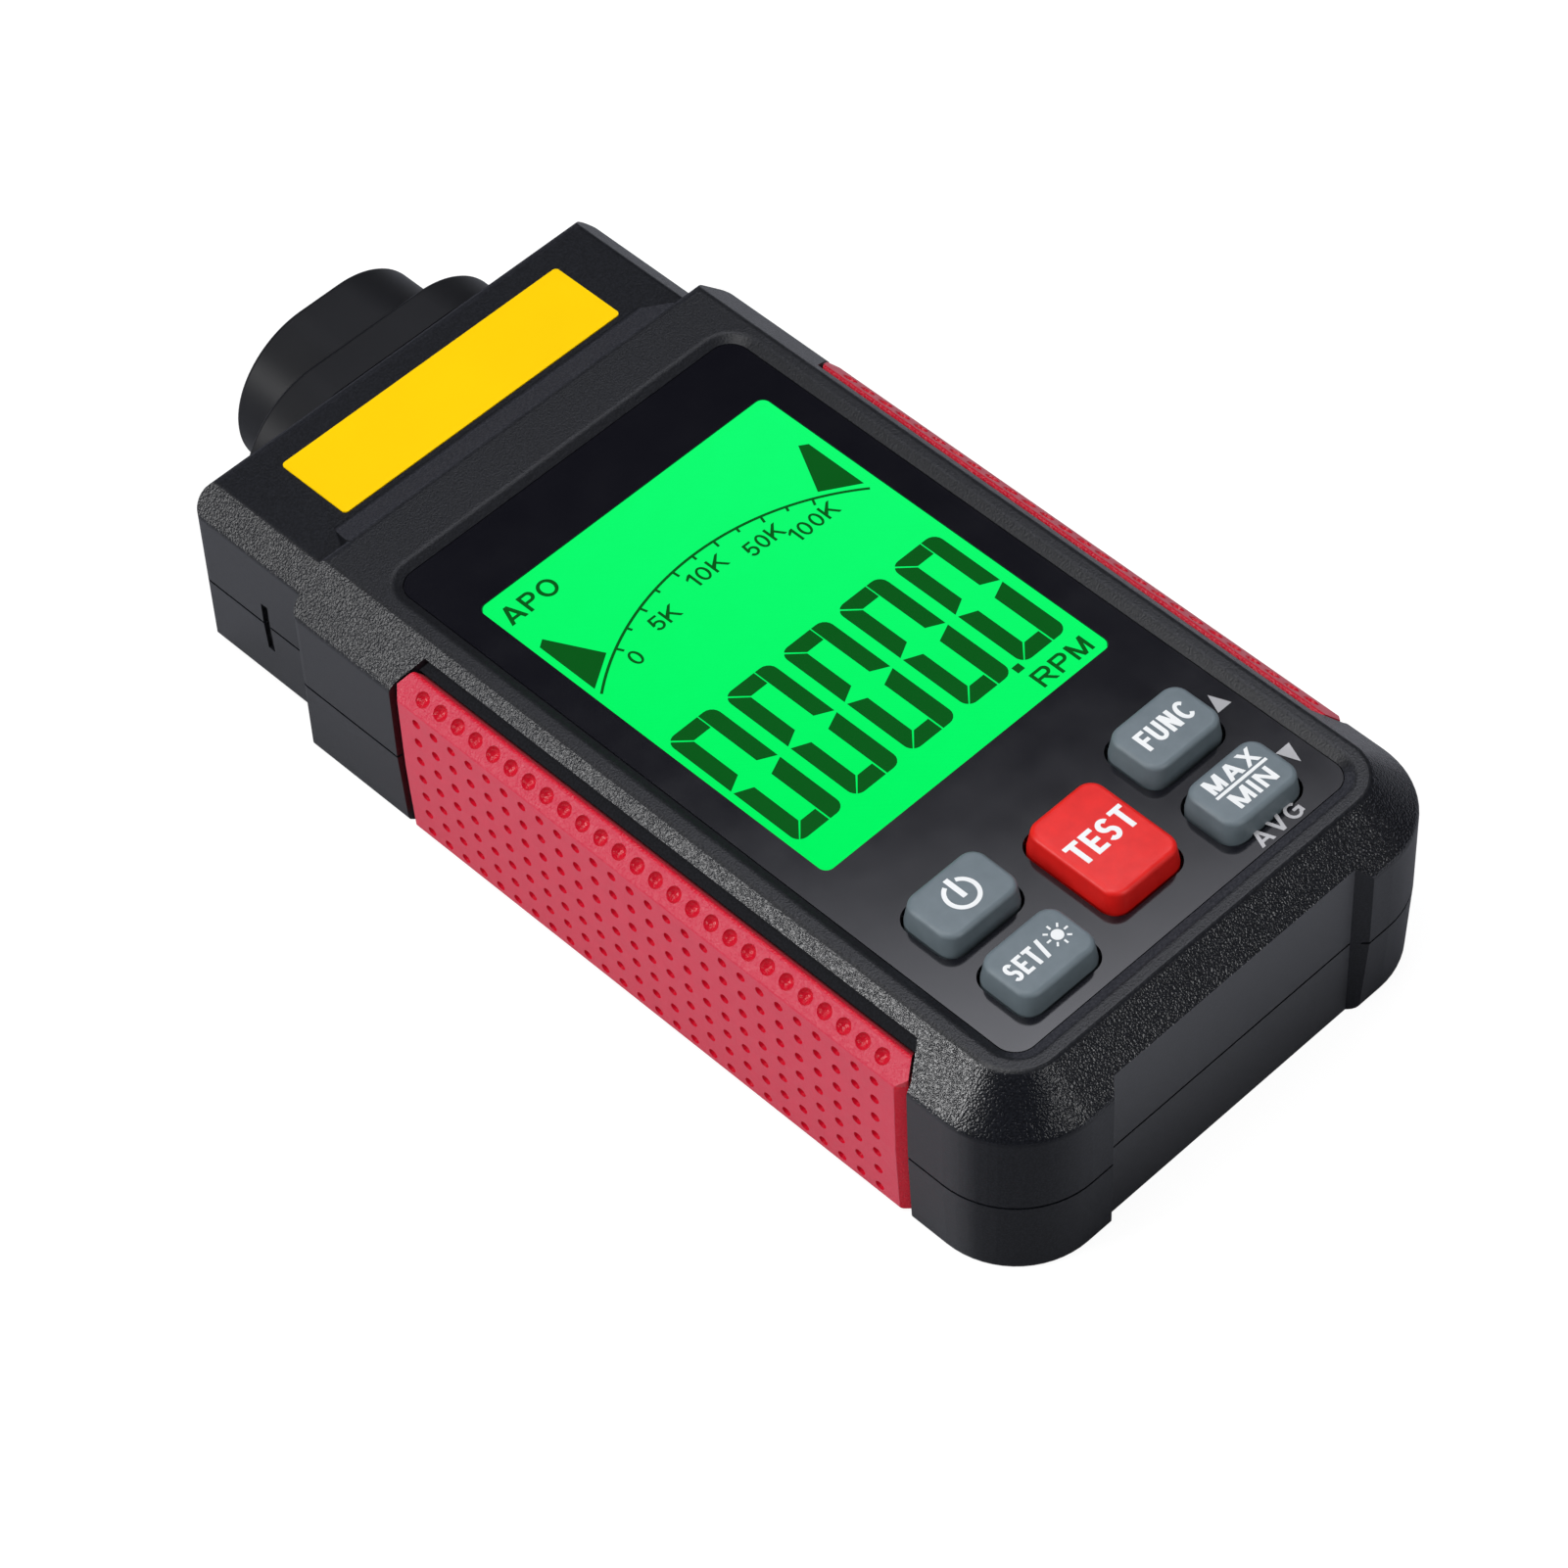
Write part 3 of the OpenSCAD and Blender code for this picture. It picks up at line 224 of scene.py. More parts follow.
def spark_textured(name):
    """Dark moulded shell: coarse spark texture on slopes, fine on level faces, satin on walls; its
    shine by region paints highlight and shade, and its ramp carries a painted sheen.
    """
    grain_size = 0.22
    grain_depth = 0.09
    groove_depth = 0.3
    groove_past_grip = 1.0
    head_drop = 1.0
    satin_roughness = 0.42
    satin_shine = 0.24
    shoulder_ends = (-55 * MM, 30 * MM)
    made = Finish(name)
    across, ahead, up = made.facing()
    smooth_across, smooth_ahead, _ = made.facing("Normal")
    x, y, z = made.axes(made.place)

    # Slopes, and the grooves that run along the grips, which are painted dark below by cutting
    # their shine; up is 0 on a wall, 0.7 on a shoulder and 1 on a level face
    rising = made.spread(up, 0, 1, 0.1, 0.5)
    sloped = made.spread(up, 1, 0.3, 0.75, 0.82)
    reach = made.calc("ADD", made.calc("ABSOLUTE", x), z)
    sunk = made.calc("LESS_THAN", reach, (shoulder_reach - groove_depth) * MM)
    sideways = made.calc("GREATER_THAN", made.calc("ABSOLUTE", across), 0.6)
    off_middle = made.calc("ABSOLUTE", made.calc("SUBTRACT", y, grip_y * MM))
    by_grip = made.calc("LESS_THAN", off_middle, (grip_l / 2 + groove_past_grip) * MM)
    groove = made.times(sunk, sideways, by_grip, rising)
    coarse = made.times(rising, sloped, made.calc("SUBTRACT", 1, groove))

    # Colour: nearly black, and on the ramp down to the head a painted sheen: a lighter flecked
    # colour stands in for its shine, which is turned off below
    ramp = made.times(made.spread(ahead, 0, 1, 0.15, 0.3), rising)
    grain = made.noise(grain_size, 0.5)
    fleck = made.spread(grain, 0, 1, 0.35, 0.75)
    shell = made.mix(fleck, (0.005, 0.0055, 0.0075), (0.01, 0.011, 0.0145))
    ramp_painted_sheen = made.mix(fleck, (0.025, 0.026, 0.032), (0.044, 0.045, 0.053))
    made.colour(ramp, shell, ramp_painted_sheen)

    # Gloss of the slopes, which fades from the rear end to the head; the fade of their shine is a
    # painted highlight that falls off towards the head
    polish = made.times(coarse, made.spread(y, 0.18, 0.08, *shoulder_ends))
    made.drive("Roughness", made.calc("SUBTRACT", satin_roughness, polish))
    sparkle = made.times(coarse, made.spread(y, 0.36, 0.17, *shoulder_ends))

    # Shine set by region, which paints light and shade: more in the rear end's recess and on the
    # walls (painted highlight), less on faces turned to the rear, the corners' turns, the grooves,
    # the ramp and the head's top (painted shade)
    behind_bumpers = made.calc("GREATER_THAN", y, solid_box[0][1] + recess_depth * MM)
    recess = made.times(made.calc("LESS_THAN", ahead, -0.95), behind_bumpers)
    rear = made.spread(ahead, 0.53, 1, -0.6, -0.1)
    turned = made.calc("ABSOLUTE", made.times(smooth_across, smooth_ahead))
    corner = made.times(made.spread(turned, 0, 0.65, 0.06, 0.22), rising)
    below_panel = made.calc("LESS_THAN", z, (panel_z - head_drop) * MM)
    head_top = made.times(made.spread(up, 0, 1, 0.9, 0.97), below_panel)
    made.drive("Specular IOR Level", made.times(
        made.calc("ADD", sparkle, satin_shine),
        made.fade(ramp, 1, 0),
        made.fade(groove, 1, 0.12),
        made.calc("MAXIMUM", made.fade(recess, 0, 1.4), rear),
        made.calc("SUBTRACT", 1, corner),
        made.spread(made.calc("ABSOLUTE", smooth_across), 1, 3, 0.93, 0.995),
        made.fade(head_top, 1, 0.5)))
    made.bump(grain, grain_depth, made.calc("MAXIMUM", coarse, made.fade(rising, 0.07, 0.2)))
    return made.set(Specular_IOR_Level=0.3)


def soft_touch(name, side, slope, dimple_shade, roughness):
    """Soft rubber with a grained slope; painted shade deepens its colour inside dimples and bevels,
    the walls' dimples and bevels give off a faint painted glow, and its sides are paler with a
    painted sheen.
    """
    dimple_rim = (0.02 * MM, 0.06 * MM)
    grain_size = 0.24
    grain_depth = 0.07
    made = Finish(name)
    x, _, z = made.axes(made.place)

    # How deep a point lies under the grip's wall and under its slope
    out = made.calc("ABSOLUTE", x)
    drop = made.calc("MAXIMUM", made.calc("SUBTRACT", parting_z * MM, z), 0.0)
    wall = made.calc("SUBTRACT", grip_side * MM, made.times(drop, grip_lean))
    wall_depth = made.calc("SUBTRACT", wall, out)
    slope_depth = made.calc("SUBTRACT", grip_reach * MM, made.calc("ADD", out, z))
    sunk = made.spread(made.calc("MINIMUM", wall_depth, slope_depth), 0, 1, *dimple_rim)
    in_wall = made.times(sunk, made.calc("LESS_THAN", wall_depth, slope_depth))

    # Painted light: the sides take a paler colour than the slope for the sheen on them, and the
    # dimples and bevels take a darker deep red for their shade
    sloped = made.spread(made.facing()[2], 0, 1, 0.3, 0.6)
    mottle = made.spread(made.noise(1.6, 3), 0, 1)
    sides = made.mix(mottle, side, tuple(1.06 * v for v in side))
    made.colour(sunk, made.mix(sloped, sides, slope), dimple_shade)
    soft = made.spread(made.noise(0.8, 2), *roughness)
    made.drive("Roughness", made.calc("SUBTRACT", soft, made.fade(sunk, 0, 0.14)))
    # Less shine inside the walls' dimples and bevels, so that their painted shade stays deep red
    shine = made.times(made.fade(sloped, 0.5, 0.32), made.fade(in_wall, 1, 0.2))
    made.drive("Specular IOR Level", shine)
    # Painted glow: the walls' dimples and bevels give off a little red light that lifts their shade
    made.drive("Emission Strength", made.fade(in_wall, 0, 0.05))
    made.bump(made.noise(grain_size, 1), grain_depth, made.fade(sloped, 0.5, 1))
    return made.set(Specular_IOR_Level=0.45, Sheen_Weight=0.08, Sheen_Roughness=0.5,
                    Emission_Color=(0.9, 0.004, 0.03, 1))


def glazed(name, dark, light, roughness, specular):
    """Smooth printed or cast sheet with faint unevenness."""
    mottle = 14
    wear = 5
    wave, wave_depth = 7, 0.004
    made = Finish(name)
    made.colour(made.spread(made.noise(mottle, 2), 0, 1), dark, light)
    made.drive("Roughness", made.spread(made.noise(wear, 2), *roughness))
    made.bump(made.noise(wave, 1), wave_depth)
    return made.set(Specular_IOR_Level=specular)


def clear(name, tint, roughness, bend):
    """Clear glass that bends light."""
    made = glazed(name, tint, tuple(min(1, 1.02 * v) for v in tint), roughness, 0.3)
    return made.set(Transmission_Weight=1.0, IOR=bend)


def coated(name, tint, roughness):
    """Thin clear pane with an anti-glare coat, which hardly shows over a lit display."""
    made = glazed(name, tint, tuple(1.2 * v for v in tint), roughness, 0.3)
    return made.set(Alpha=0.03)


def lit_display(name):
    """Liquid crystal cell lit from behind, a little lighter at its upper right."""
    made = Finish(name)
    x, y, _ = made.axes(made.place)
    to_right = made.spread(x, 0, 0.5, -20 * MM, 20 * MM)
    to_top = made.spread(y, 0, 0.5, -30 * MM, 20 * MM)
    lift = made.calc("ADD", to_right, to_top)
    made.colour(lift, (0.0, 0.93, 0.115), (0.006, 1.0, 0.17), "Emission Color")
    made.colour(made.spread(made.noise(3, 2), 0, 1), (0.0, 0.02, 0.006), (0.0, 0.03, 0.01))
    return made.set(Emission_Strength=1.0, Roughness=0.5, Specular_IOR_Level=0.0)


def metal(name, dark, light, roughness, grain):
    """Plated or turned metal with a grain of a size in millimetres."""
    wear = grain / 2
    scratch, scratch_depth = grain / 3, 0.01
    made = Finish(name)
    made.colour(made.spread(made.noise(grain, 4), 0, 1), dark, light)
    made.drive("Roughness", made.spread(made.noise(wear, 3), *roughness))
    made.bump(made.noise(scratch, 2), scratch_depth)
    return made.set(Metallic=1.0)


# Each finish has its darker and its lighter tone, then its range of roughness
finishes = {
    "housing": spark_textured("spark_textured_shell"),
    "barrel": glazed("satin_barrel", (0.004, 0.0043, 0.006), (0.006, 0.0064, 0.0085),
                     (0.42, 0.46), specular=0.26),
    "panel": glazed("gloss_panel", (0.005, 0.005, 0.0078), (0.006, 0.006, 0.009),
                    (0.1, 0.13), specular=0.5),
    "window": coated("clear_window", (0.01, 0.03, 0.015), (0.08, 0.12)),
    "display": lit_display("lit_display"),
    "diffuser": moulded("white_light_guide", (0.7, 0.72, 0.7), (0.8, 0.82, 0.8),
                        (0.3, 0.4), grain=1, depth=0.01),
    "elastomer": moulded("dark_silicone", (0.05, 0.055, 0.06), (0.07, 0.075, 0.08),
                         (0.55, 0.65), grain=0.4, depth=0.02),
    "circuit_board": glazed("solder_mask", (0.008, 0.09, 0.035), (0.012, 0.13, 0.05),
                            (0.25, 0.35), specular=0.5),
    "chip": moulded("moulded_epoxy", (0.012, 0.012, 0.012), (0.02, 0.02, 0.02),
                    (0.5, 0.6), grain=0.2, depth=0.01),
    "contact_pads": metal("plated_copper", (0.62, 0.45, 0.18), (0.75, 0.58, 0.28),
                          (0.25, 0.35), grain=1.2),
    "grey_key": moulded("grey_silicone_key", (0.124, 0.157, 0.178), (0.142, 0.177, 0.2),
                        (0.42, 0.5), grain=0.16, depth=0.006, specular=0.4),
    "red_key": moulded("red_silicone_key", (0.68, 0.008, 0.006), (0.76, 0.012, 0.009),
                       (0.4, 0.48), grain=0.16, depth=0.006, specular=0.4),
    # Grip: the side colour carries a painted sheen, the slope's is deeper, and the dimple colour is
    # painted shade
    "grip": soft_touch("soft_red_grip", side=(0.6, 0.022, 0.061), slope=(0.51, 0.011, 0.044),
                       dimple_shade=(0.56, 0.003, 0.022), roughness=(0.36, 0.44)),
    "label": glazed("plain_yellow_film", (0.9, 0.57, 0.0), (0.93, 0.6, 0.0),
                    (0.4, 0.46), specular=0.06),
    "laser_case": metal("turned_brass", (0.6, 0.42, 0.16), (0.72, 0.55, 0.25),
                        (0.2, 0.3), grain=0.8),
    "lens": clear("clear_lens", (0.95, 0.97, 1.0), (0.01, 0.02), bend=1.5),
    "cell": moulded("printed_sleeve", (0.02, 0.05, 0.03), (0.03, 0.07, 0.045),
                    (0.25, 0.35), grain=2, depth=0.006),
    "plated_steel": metal("nickel_plate", (0.55, 0.55, 0.57), (0.68, 0.68, 0.7),
                          (0.22, 0.34), grain=0.9),
}
segments = glazed("display_segments", (0.0, 0.01, 0.001), (0.0, 0.014, 0.002),
                  (0.5, 0.6), specular=0.05)
segments.set(Emission_Color=(0.0, 0.085, 0.006, 1), Emission_Strength=1.0)
dark_ink = segments.material
grey_ink = glazed("grey_print", (0.42, 0.42, 0.44), (0.48, 0.48, 0.5),
                  (0.45, 0.55), specular=0.3).material
white_ink = glazed("white_print", (0.78, 0.8, 0.81), (0.86, 0.87, 0.88),
                   (0.45, 0.55), specular=0.3).material

for entry in frame["record"]["subparts"]:
    mesh = nodes[entry["node"]].data
    mesh.materials.clear()
    mesh.materials.append(finishes[entry["material_slot"]].material)


# Pieces
def add_piece(name, bm, material, body):
    """Makes a piece from a bmesh in millimetres, riding on a body."""
    bmesh.ops.recalc_face_normals(bm, faces=bm.faces)
    bmesh.ops.scale(bm, vec=(MM, MM, MM), verts=bm.verts)
    mesh = bpy.data.meshes.new(name)
    bm.to_mesh(mesh)
    bm.free()
    mesh.materials.append(material)
    piece = bpy.data.objects.new(name, mesh)
    bpy.context.collection.objects.link(piece)
    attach(piece, body)
    return piece


def rise(bm, faces, dz):
    """Extrudes flat faces upwards and returns the new top faces."""
    made = bmesh.ops.extrude_face_region(bm, geom=faces)["geom"]
    lifted = [v for v in made if isinstance(v, bmesh.types.BMVert)]
    bmesh.ops.translate(bm, vec=(0, 0, dz), verts=lifted)
    return [f for f in made if isinstance(f, bmesh.types.BMFace)]


def flat(bm, points, z):
    """A thin flat shape with an outline of [x, y] points."""
    face = bm.faces.new([bm.verts.new((x, y, z)) for x, y in points])
    rise(bm, [face], ink)


def band(bm, rows, z, thick):
    """A flat band through pairs of [x, y] points, closed where its ends meet."""
    closed = math.dist(rows[0][0], rows[-1][0]) < 1e-6
    if closed:
        rows = rows[:-1]
    verts = [[bm.verts.new((x, y, z)) for x, y in row] for row in rows]
    if closed:
        verts.append(verts[0])
    faces = [bm.faces.new((a, b, d, c)) for (a, b), (c, d) in zip(verts, verts[1:])]
    rise(bm, faces, thick)


def rectangle(x0, y0, x1, y1):
    return [(x0, y0), (x1, y0), (x1, y1), (x0, y1)]


def arc(centre, radii, start, end, steps):
    """Points of an arc of a circle or an ellipse, between two angles in degrees."""
    turns = [math.radians(start + (end - start) * i / steps) for i in range(steps + 1)]
    return [(centre[0] + radii[0] * math.cos(a), centre[1] + radii[1] * math.sin(a))
            for a in turns]


def rounded_plate(bm, x, y, w, l, r, z):
    """A flat rectangle with round corners, as a list of its one face."""
    known = set(bm.faces)
    corners = [bm.verts.new((px, py, z))
               for px, py in rectangle(x - w / 2, y - l / 2, x + w / 2, y + l / 2)]
    bm.faces.new(corners)
    bmesh.ops.bevel(bm, geom=corners, offset=r, segments=8, profile=0.5,
                    affect="VERTICES", material=-1)
    return [f for f in bm.faces if f not in known]


def ring(bm, centre, inner, outer, start, end, z, steps):
    """A thin ring, or a part of one, between two radii and two angles in degrees."""
    known = set(bm.faces)
    turn = Vector((math.cos(math.radians(start)), math.sin(math.radians(start)), 0))
    middle = Vector((*centre, z))
    ends = [bm.verts.new(middle + r * turn) for r in (inner, outer)]
    bmesh.ops.spin(bm, geom=[*ends, bm.edges.new(ends)], cent=middle, axis=(0, 0, 1),
                   angle=math.radians(end - start), steps=steps)
    rise(bm, [f for f in bm.faces if f not in known], ink)


# Plain bold letters, with their widths as shares of a unit and the space between them
WIDTHS = {"A": 0.98, "C": 0.92, "E": 0.75, "F": 0.7, "G": 0.95, "I": 0.2, "K": 0.92,
          "M": 0.96, "N": 0.82, "O": 0.98, "P": 0.78, "R": 0.88, "S": 0.82, "T": 0.82,
          "U": 0.82, "V": 0.94, "X": 0.92, "0": 0.7, "1": 0.42, "5": 0.7, "/": 0.62}
SPACE = 0.17


def bar(x0, y0, x1, y1):
    return [((x0, y0), (x1, y0)), ((x0, y1), (x1, y1))]


def slant(x0, y0, x1, y1, t):
    return [((x0, y0), (x0 + t, y0)), ((x1, y1), (x1 + t, y1))]


def bowl(x, y, rx, ry, t, b, start, end, steps=16):
    inside = arc((x, y), (rx - t, ry - b), start, end, steps)
    outside = arc((x, y), (rx, ry), start, end, steps)
    return list(zip(inside, outside))


def letter(sign, w, h, t, b):
    """Strokes of a letter of w by h, with stems of t and bars of b, as bands of paired points."""
    half = w / 2
    mid = h / 2
    s = 1.12 * t
    low = 0.42 * h
    eye = (h - low) / 2
    eye_w = min(eye, 0.6 * w)
    fold = (h + b) / 4
    stem = bar(0, 0, t, h)
    far = bar(w - t, 0, w, h)
    loop = [bar(t, h - b, w - eye_w, h), bar(t, low, w - eye_w, low + b),
            bowl(w - eye_w, low + eye, eye_w, eye, t, b, -90, 90)]
    shapes = {
        "A": [slant(0, 0, half - s / 2, h, s), slant(w - s, 0, half - s / 2, h, s),
              bar(0.22 * w, 0.2 * h, 0.78 * w, 0.2 * h + b)],
        "C": [bowl(half, mid, half, mid, t, b, 42, 318, 28)],
        "E": [stem, bar(t, 0, w, b), bar(t, mid - b / 2, 0.93 * w, mid + b / 2),
              bar(t, h - b, w, h)],
        "F": [stem, bar(t, low, 0.93 * w, low + b), bar(t, h - b, w, h)],
        "G": [bowl(half, mid, half, mid, t, b, 42, 330, 28), bar(w - t, 0.14 * h, w, mid),
              bar(half, low, w, low + b)],
        "I": [stem],
        "K": [stem, [((t, 0.26 * h), (t, 0.56 * h)), ((w, h), (w - 1.3 * t, h))],
              slant(w - s, 0, 0.34 * w, 0.58 * h, s)],
        "M": [stem, far, slant(half - s / 2, 0, 0, h, s), slant(half - s / 2, 0, w - s, h, s)],
        "N": [stem, far, slant(w - s, 0, 0, h, s)],
        "O": [bowl(half, mid, half, mid, t, b, 0, 360, 32)],
        "P": [stem, *loop],
        "R": [stem, *loop, slant(w - s, 0, 0.42 * w, low, s)],
        "S": [bowl(half, h - fold, half, fold, t, b, 25, 270, 20),
              bowl(half, fold, half, fold, t, b, 89, -155, 20)],
        "T": [bar(0, h - b, w, h), bar(half - t / 2, 0, half + t / 2, h - b)],
        "U": [bar(0, half, t, h), bar(w - t, half, w, h),
              bowl(half, half, half, half, t, b, 180, 360, 18)],
        "V": [slant(half - s / 2, 0, 0, h, s), slant(half - s / 2, 0, w - s, h, s)],
        "X": [slant(0, 0, w - s, h, s), slant(w - s, 0, 0, h, s)],
        "0": [bowl(half, mid, half, mid, t, b, 0, 360, 32)],
        "1": [bar(w - t, 0, w, h),
              [((0, 0.66 * h), (0, 0.66 * h + 1.1 * b)), ((w - t, 0.8 * h), (w - t, h))]],
        "5": [bar(0.14 * w, h - b, 0.95 * w, h), slant(0.03 * w, low, 0.14 * w, h, t),
              bowl(half, 0.33 * h, half, 0.33 * h, t, b, 140, -155, 22)],
        "/": [slant(0, 0, w - t, h, t)],
    }
    return shapes[sign]


def words(bm, text, cap, width, centre_x, baseline, z, stem):
    """Letters of a cap height, an overall width and a stem; each stroke is a step higher."""
    unit = width / (sum(WIDTHS[sign] for sign in text) + SPACE * (len(text) - 1))
    x = centre_x - width / 2
    for sign in text:
        w = stem if sign == "I" else WIDTHS[sign] * unit
        for i, stroke in enumerate(letter(sign, w, cap, stem, 0.86 * stem)):
            rows = [[(x + px, baseline + py) for px, py in row] for row in stroke]
            band(bm, rows, z, ink + stroke_step * i)
        x += (WIDTHS[sign] + SPACE) * unit


# Display graphics: digits with their point, scale, pointers and words
digit_w = 6.4
digit_h = 18.5
digit_pitch = 7.85
first_digit_x = -15.55
digits_y = display_y - 10.25


def digit(bm, x, y, z):
    """A seven-segment nought, its lower left corner at x, y."""
    w, h = digit_w, digit_h
    upright_t, level_t = 1.95, 1.9
    r = 1.2
    gap = 0.14
    slit = 6
    slit_x, slit_y = 0.05, 0.1
    top_end, bottom_end = 4.35, 4.1
    upper_inside, lower_inside = 4.5, 4.3
    upper_tip, upper_notch = h / 2 + 0.1, h / 2 + 1.1
    lower_tip, lower_notch = h / 2 - 0.25, h / 2 - 1.15
    upper = arc((r, h - r), (r, r), 180, 135, 3)
    lower = arc((r, r), (r, r), 225, 180, 3)
    shapes = [
        arc((r, h - r), (r, r), 135 - slit, 90, 3)
        + [(top_end, h), (top_end, h - level_t), (upright_t + gap, h - level_t)],
        [(upper_inside, h)] + arc((w - r, h - r), (r, r), 90, 0, 5)
        + [(w, upper_tip), (upper_inside, upper_notch)],
        [(0, upper_tip)] + upper[:-1] + [(upper[-1][0] - slit_x, upper[-1][1] - slit_y)]
        + [(upright_t, h - level_t - gap), (upright_t, upper_notch)],
        lower + [(0, lower_tip), (upright_t, lower_notch), (upright_t, level_t + gap)],
        [(lower_inside, 0)] + arc((w - r, r), (r, r), 270, 360, 5)
        + [(w, lower_tip), (lower_inside, lower_notch)],
        arc((r, r), (r, r), 225 + slit, 270, 3)
        + [(bottom_end, 0), (bottom_end, level_t), (upright_t + gap, level_t)],
    ]
    for shape in shapes:
        flat(bm, [(x + px, y + py) for px, py in shape], z)


graphics = bmesh.new()
digit_count = 5
for i in range(digit_count):
    middle_x = first_digit_x + digit_pitch * i
    digit(graphics, middle_x - digit_w / 2, digits_y - digit_h / 2, display_z)
point_x, point_y = 11.85, display_y - 19.5
point_half = 0.475
flat(graphics, rectangle(point_x - point_half, point_y - point_half,
                         point_x + point_half, point_y + point_half), display_z)

scale_centre = (0.1, display_y - 15.92)
scale_r = 30.47
scale_half_line = 0.15
scale_span = 38.28
scale_inside = scale_r - scale_half_line
ring(graphics, scale_centre, scale_inside, scale_r + scale_half_line,
     90 - scale_span, 90 + scale_span, display_z, 48)
tick_count = 11
tick_span = 27
tick_half = math.degrees(0.14 / scale_r)
long_tick, short_tick = 0.75, 0.5
for i in range(tick_count):
    angle = 90 + tick_span - 2 * tick_span * i / (tick_count - 1)
    length = long_tick if i % 2 == 0 else short_tick
    ring(graphics, scale_centre, scale_inside - length, scale_inside,
         angle - tick_half, angle + tick_half, display_z, 1)
number_cap = 1.95
for text, width, x, y in (("0", 1.3, -13.15, 8.95), ("5K", 3.4, -7.55, 10.65),
                          ("10K", 4.75, -0.25, 12.05), ("50K", 4.75, 6.6, 10.85),
                          ("100K", 6.1, 11.85, 8.95)):
    words(graphics, text, number_cap, width, x, display_y + y - number_cap / 2, display_z, stem=0.3)

words(graphics, "APO", cap=2.4, width=7.0, centre_x=-15.25, baseline=display_y + 20.85,
      z=display_z, stem=0.42)
words(graphics, "RPM", cap=2.25, width=7.25, centre_x=15.45, baseline=display_y - 23.15,
      z=display_z, stem=0.4)
pointer = [(-18.8, 16.85), (-17.9, 17.45), (-14.75, 11.5), (-18.8, 8.95)]
pointer_sum = 0.25
for shape in (pointer, [(pointer_sum - x, y) for x, y in pointer]):
    flat(graphics, [(x, display_y + y) for x, y in shape], display_z)
add_piece("display_graphics", graphics, dark_ink, "body")

# Edge of the clear window: a thin band that glows like the display, painted light that covers the
# shade on the window's walls up to the panel
low, high = box_of("display_window")
edge_gap = 0.04
edge_t = 0.03
edge_drop = 0.02
window_r = 1.0
edge = bmesh.new()
pane = rounded_plate(edge, 0, display_y, high[0] - low[0] - 2 * edge_gap,
                     high[1] - low[1] - 2 * edge_gap, window_r - edge_gap, display_z)
bmesh.ops.inset_region(edge, faces=pane, thickness=edge_t, use_boundary=True,
                       use_even_offset=True)
bmesh.ops.delete(edge, geom=pane, context="FACES")
rise(edge, list(edge.faces), panel_z - display_z - edge_drop)
add_piece("window_edge_glow", edge, finishes["display"].material, "body")

# Printed legends of the panel
printed = bmesh.new()
arrow_x = 21.55
arrow_half = 0.95
for tip, foot in ((-41.1, -43.4), (-53.35, -50.9)):
    flat(printed, [(arrow_x, tip), (arrow_x - arrow_half, foot), (arrow_x + arrow_half, foot)],
         panel_z)
words(printed, "AVG", cap=2.0, width=6.4, centre_x=14.15, baseline=-57.9, z=panel_z, stem=0.38)
add_piece("panel_legends", printed, grey_ink, "body")


# Keys, with the rounding of soft silicone
def key(node, body, finish):
    """A key cap with its skirt, its flange and the post that presses the contact."""
    flange, flange_t, flange_drop = 1.0, 1.6, 3.6
    corner_r = 1.9
    taper = 0.52
    rounding = 0.6
    post, post_r = 4, 1.95
    sharp_from = math.radians(40)
    low, high = box_of(node)
    x, y, _ = middle_of(node)
    w = high[0] - low[0] - 2 * flange
    l = high[1] - low[1] - 2 * flange
    flange_top = panel_z - flange_drop
    bm = bmesh.new()
    skirt = rise(bm, rounded_plate(bm, x, y, w, l, corner_r, flange_top), flange_drop)
    top = rise(bm, skirt, print_z - panel_z)
    bmesh.ops.delete(bm, geom=[f for f in skirt if f.is_valid], context="FACES_ONLY")
    for v in {v for f in top for v in f.verts}:
        v.co.x = x + (v.co.x - x) * (1 - taper / w)
        v.co.y = y + (v.co.y - y) * (1 - taper / l)
    edges = {e for f in top for e in f.edges}
    bmesh.ops.bevel(bm, geom=list(edges), offset=rounding, segments=6, profile=0.5,
                    affect="EDGES", material=-1)
    rise(bm, rounded_plate(bm, x, y, w + 2 * flange, l + 2 * flange, corner_r,
                           flange_top - flange_t), flange_t)
    rise(bm, rounded_plate(bm, x, y, post, post, post_r, low[2]), flange_top - low[2])
    for f in bm.faces:
        f.smooth = True
    piece = add_piece(node + "_cap", bm, finishes[finish].material, body)
    piece.data.set_sharp_from_angle(angle=sharp_from)
    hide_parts(node)


for node, body, finish in (("key_power", "power_key", "grey_key"),
                           ("key_set", "set_key", "grey_key"),
                           ("key_test", "test_key", "red_key"),
                           ("key_func", "func_key", "grey_key"),
                           ("key_max_min", "max_min_key", "grey_key")):
    key(node, body, finish)

# Legends of the keys
mark = bmesh.new()
power_x, power_y = -14.25, -42.25
power_inner, power_outer = 1.49, 1.97
power_gap = 24
line_half, line_foot, line_end = 0.3, -0.5, 2.25
ring(mark, (power_x, power_y), power_inner, power_outer, 90 + power_gap, 450 - power_gap,
     print_z, 40)
flat(mark, rectangle(power_x - line_half, power_y + line_foot,
                     power_x + line_half, power_y + line_end), print_z)
add_piece("power_mark", mark, white_ink, "power_key")

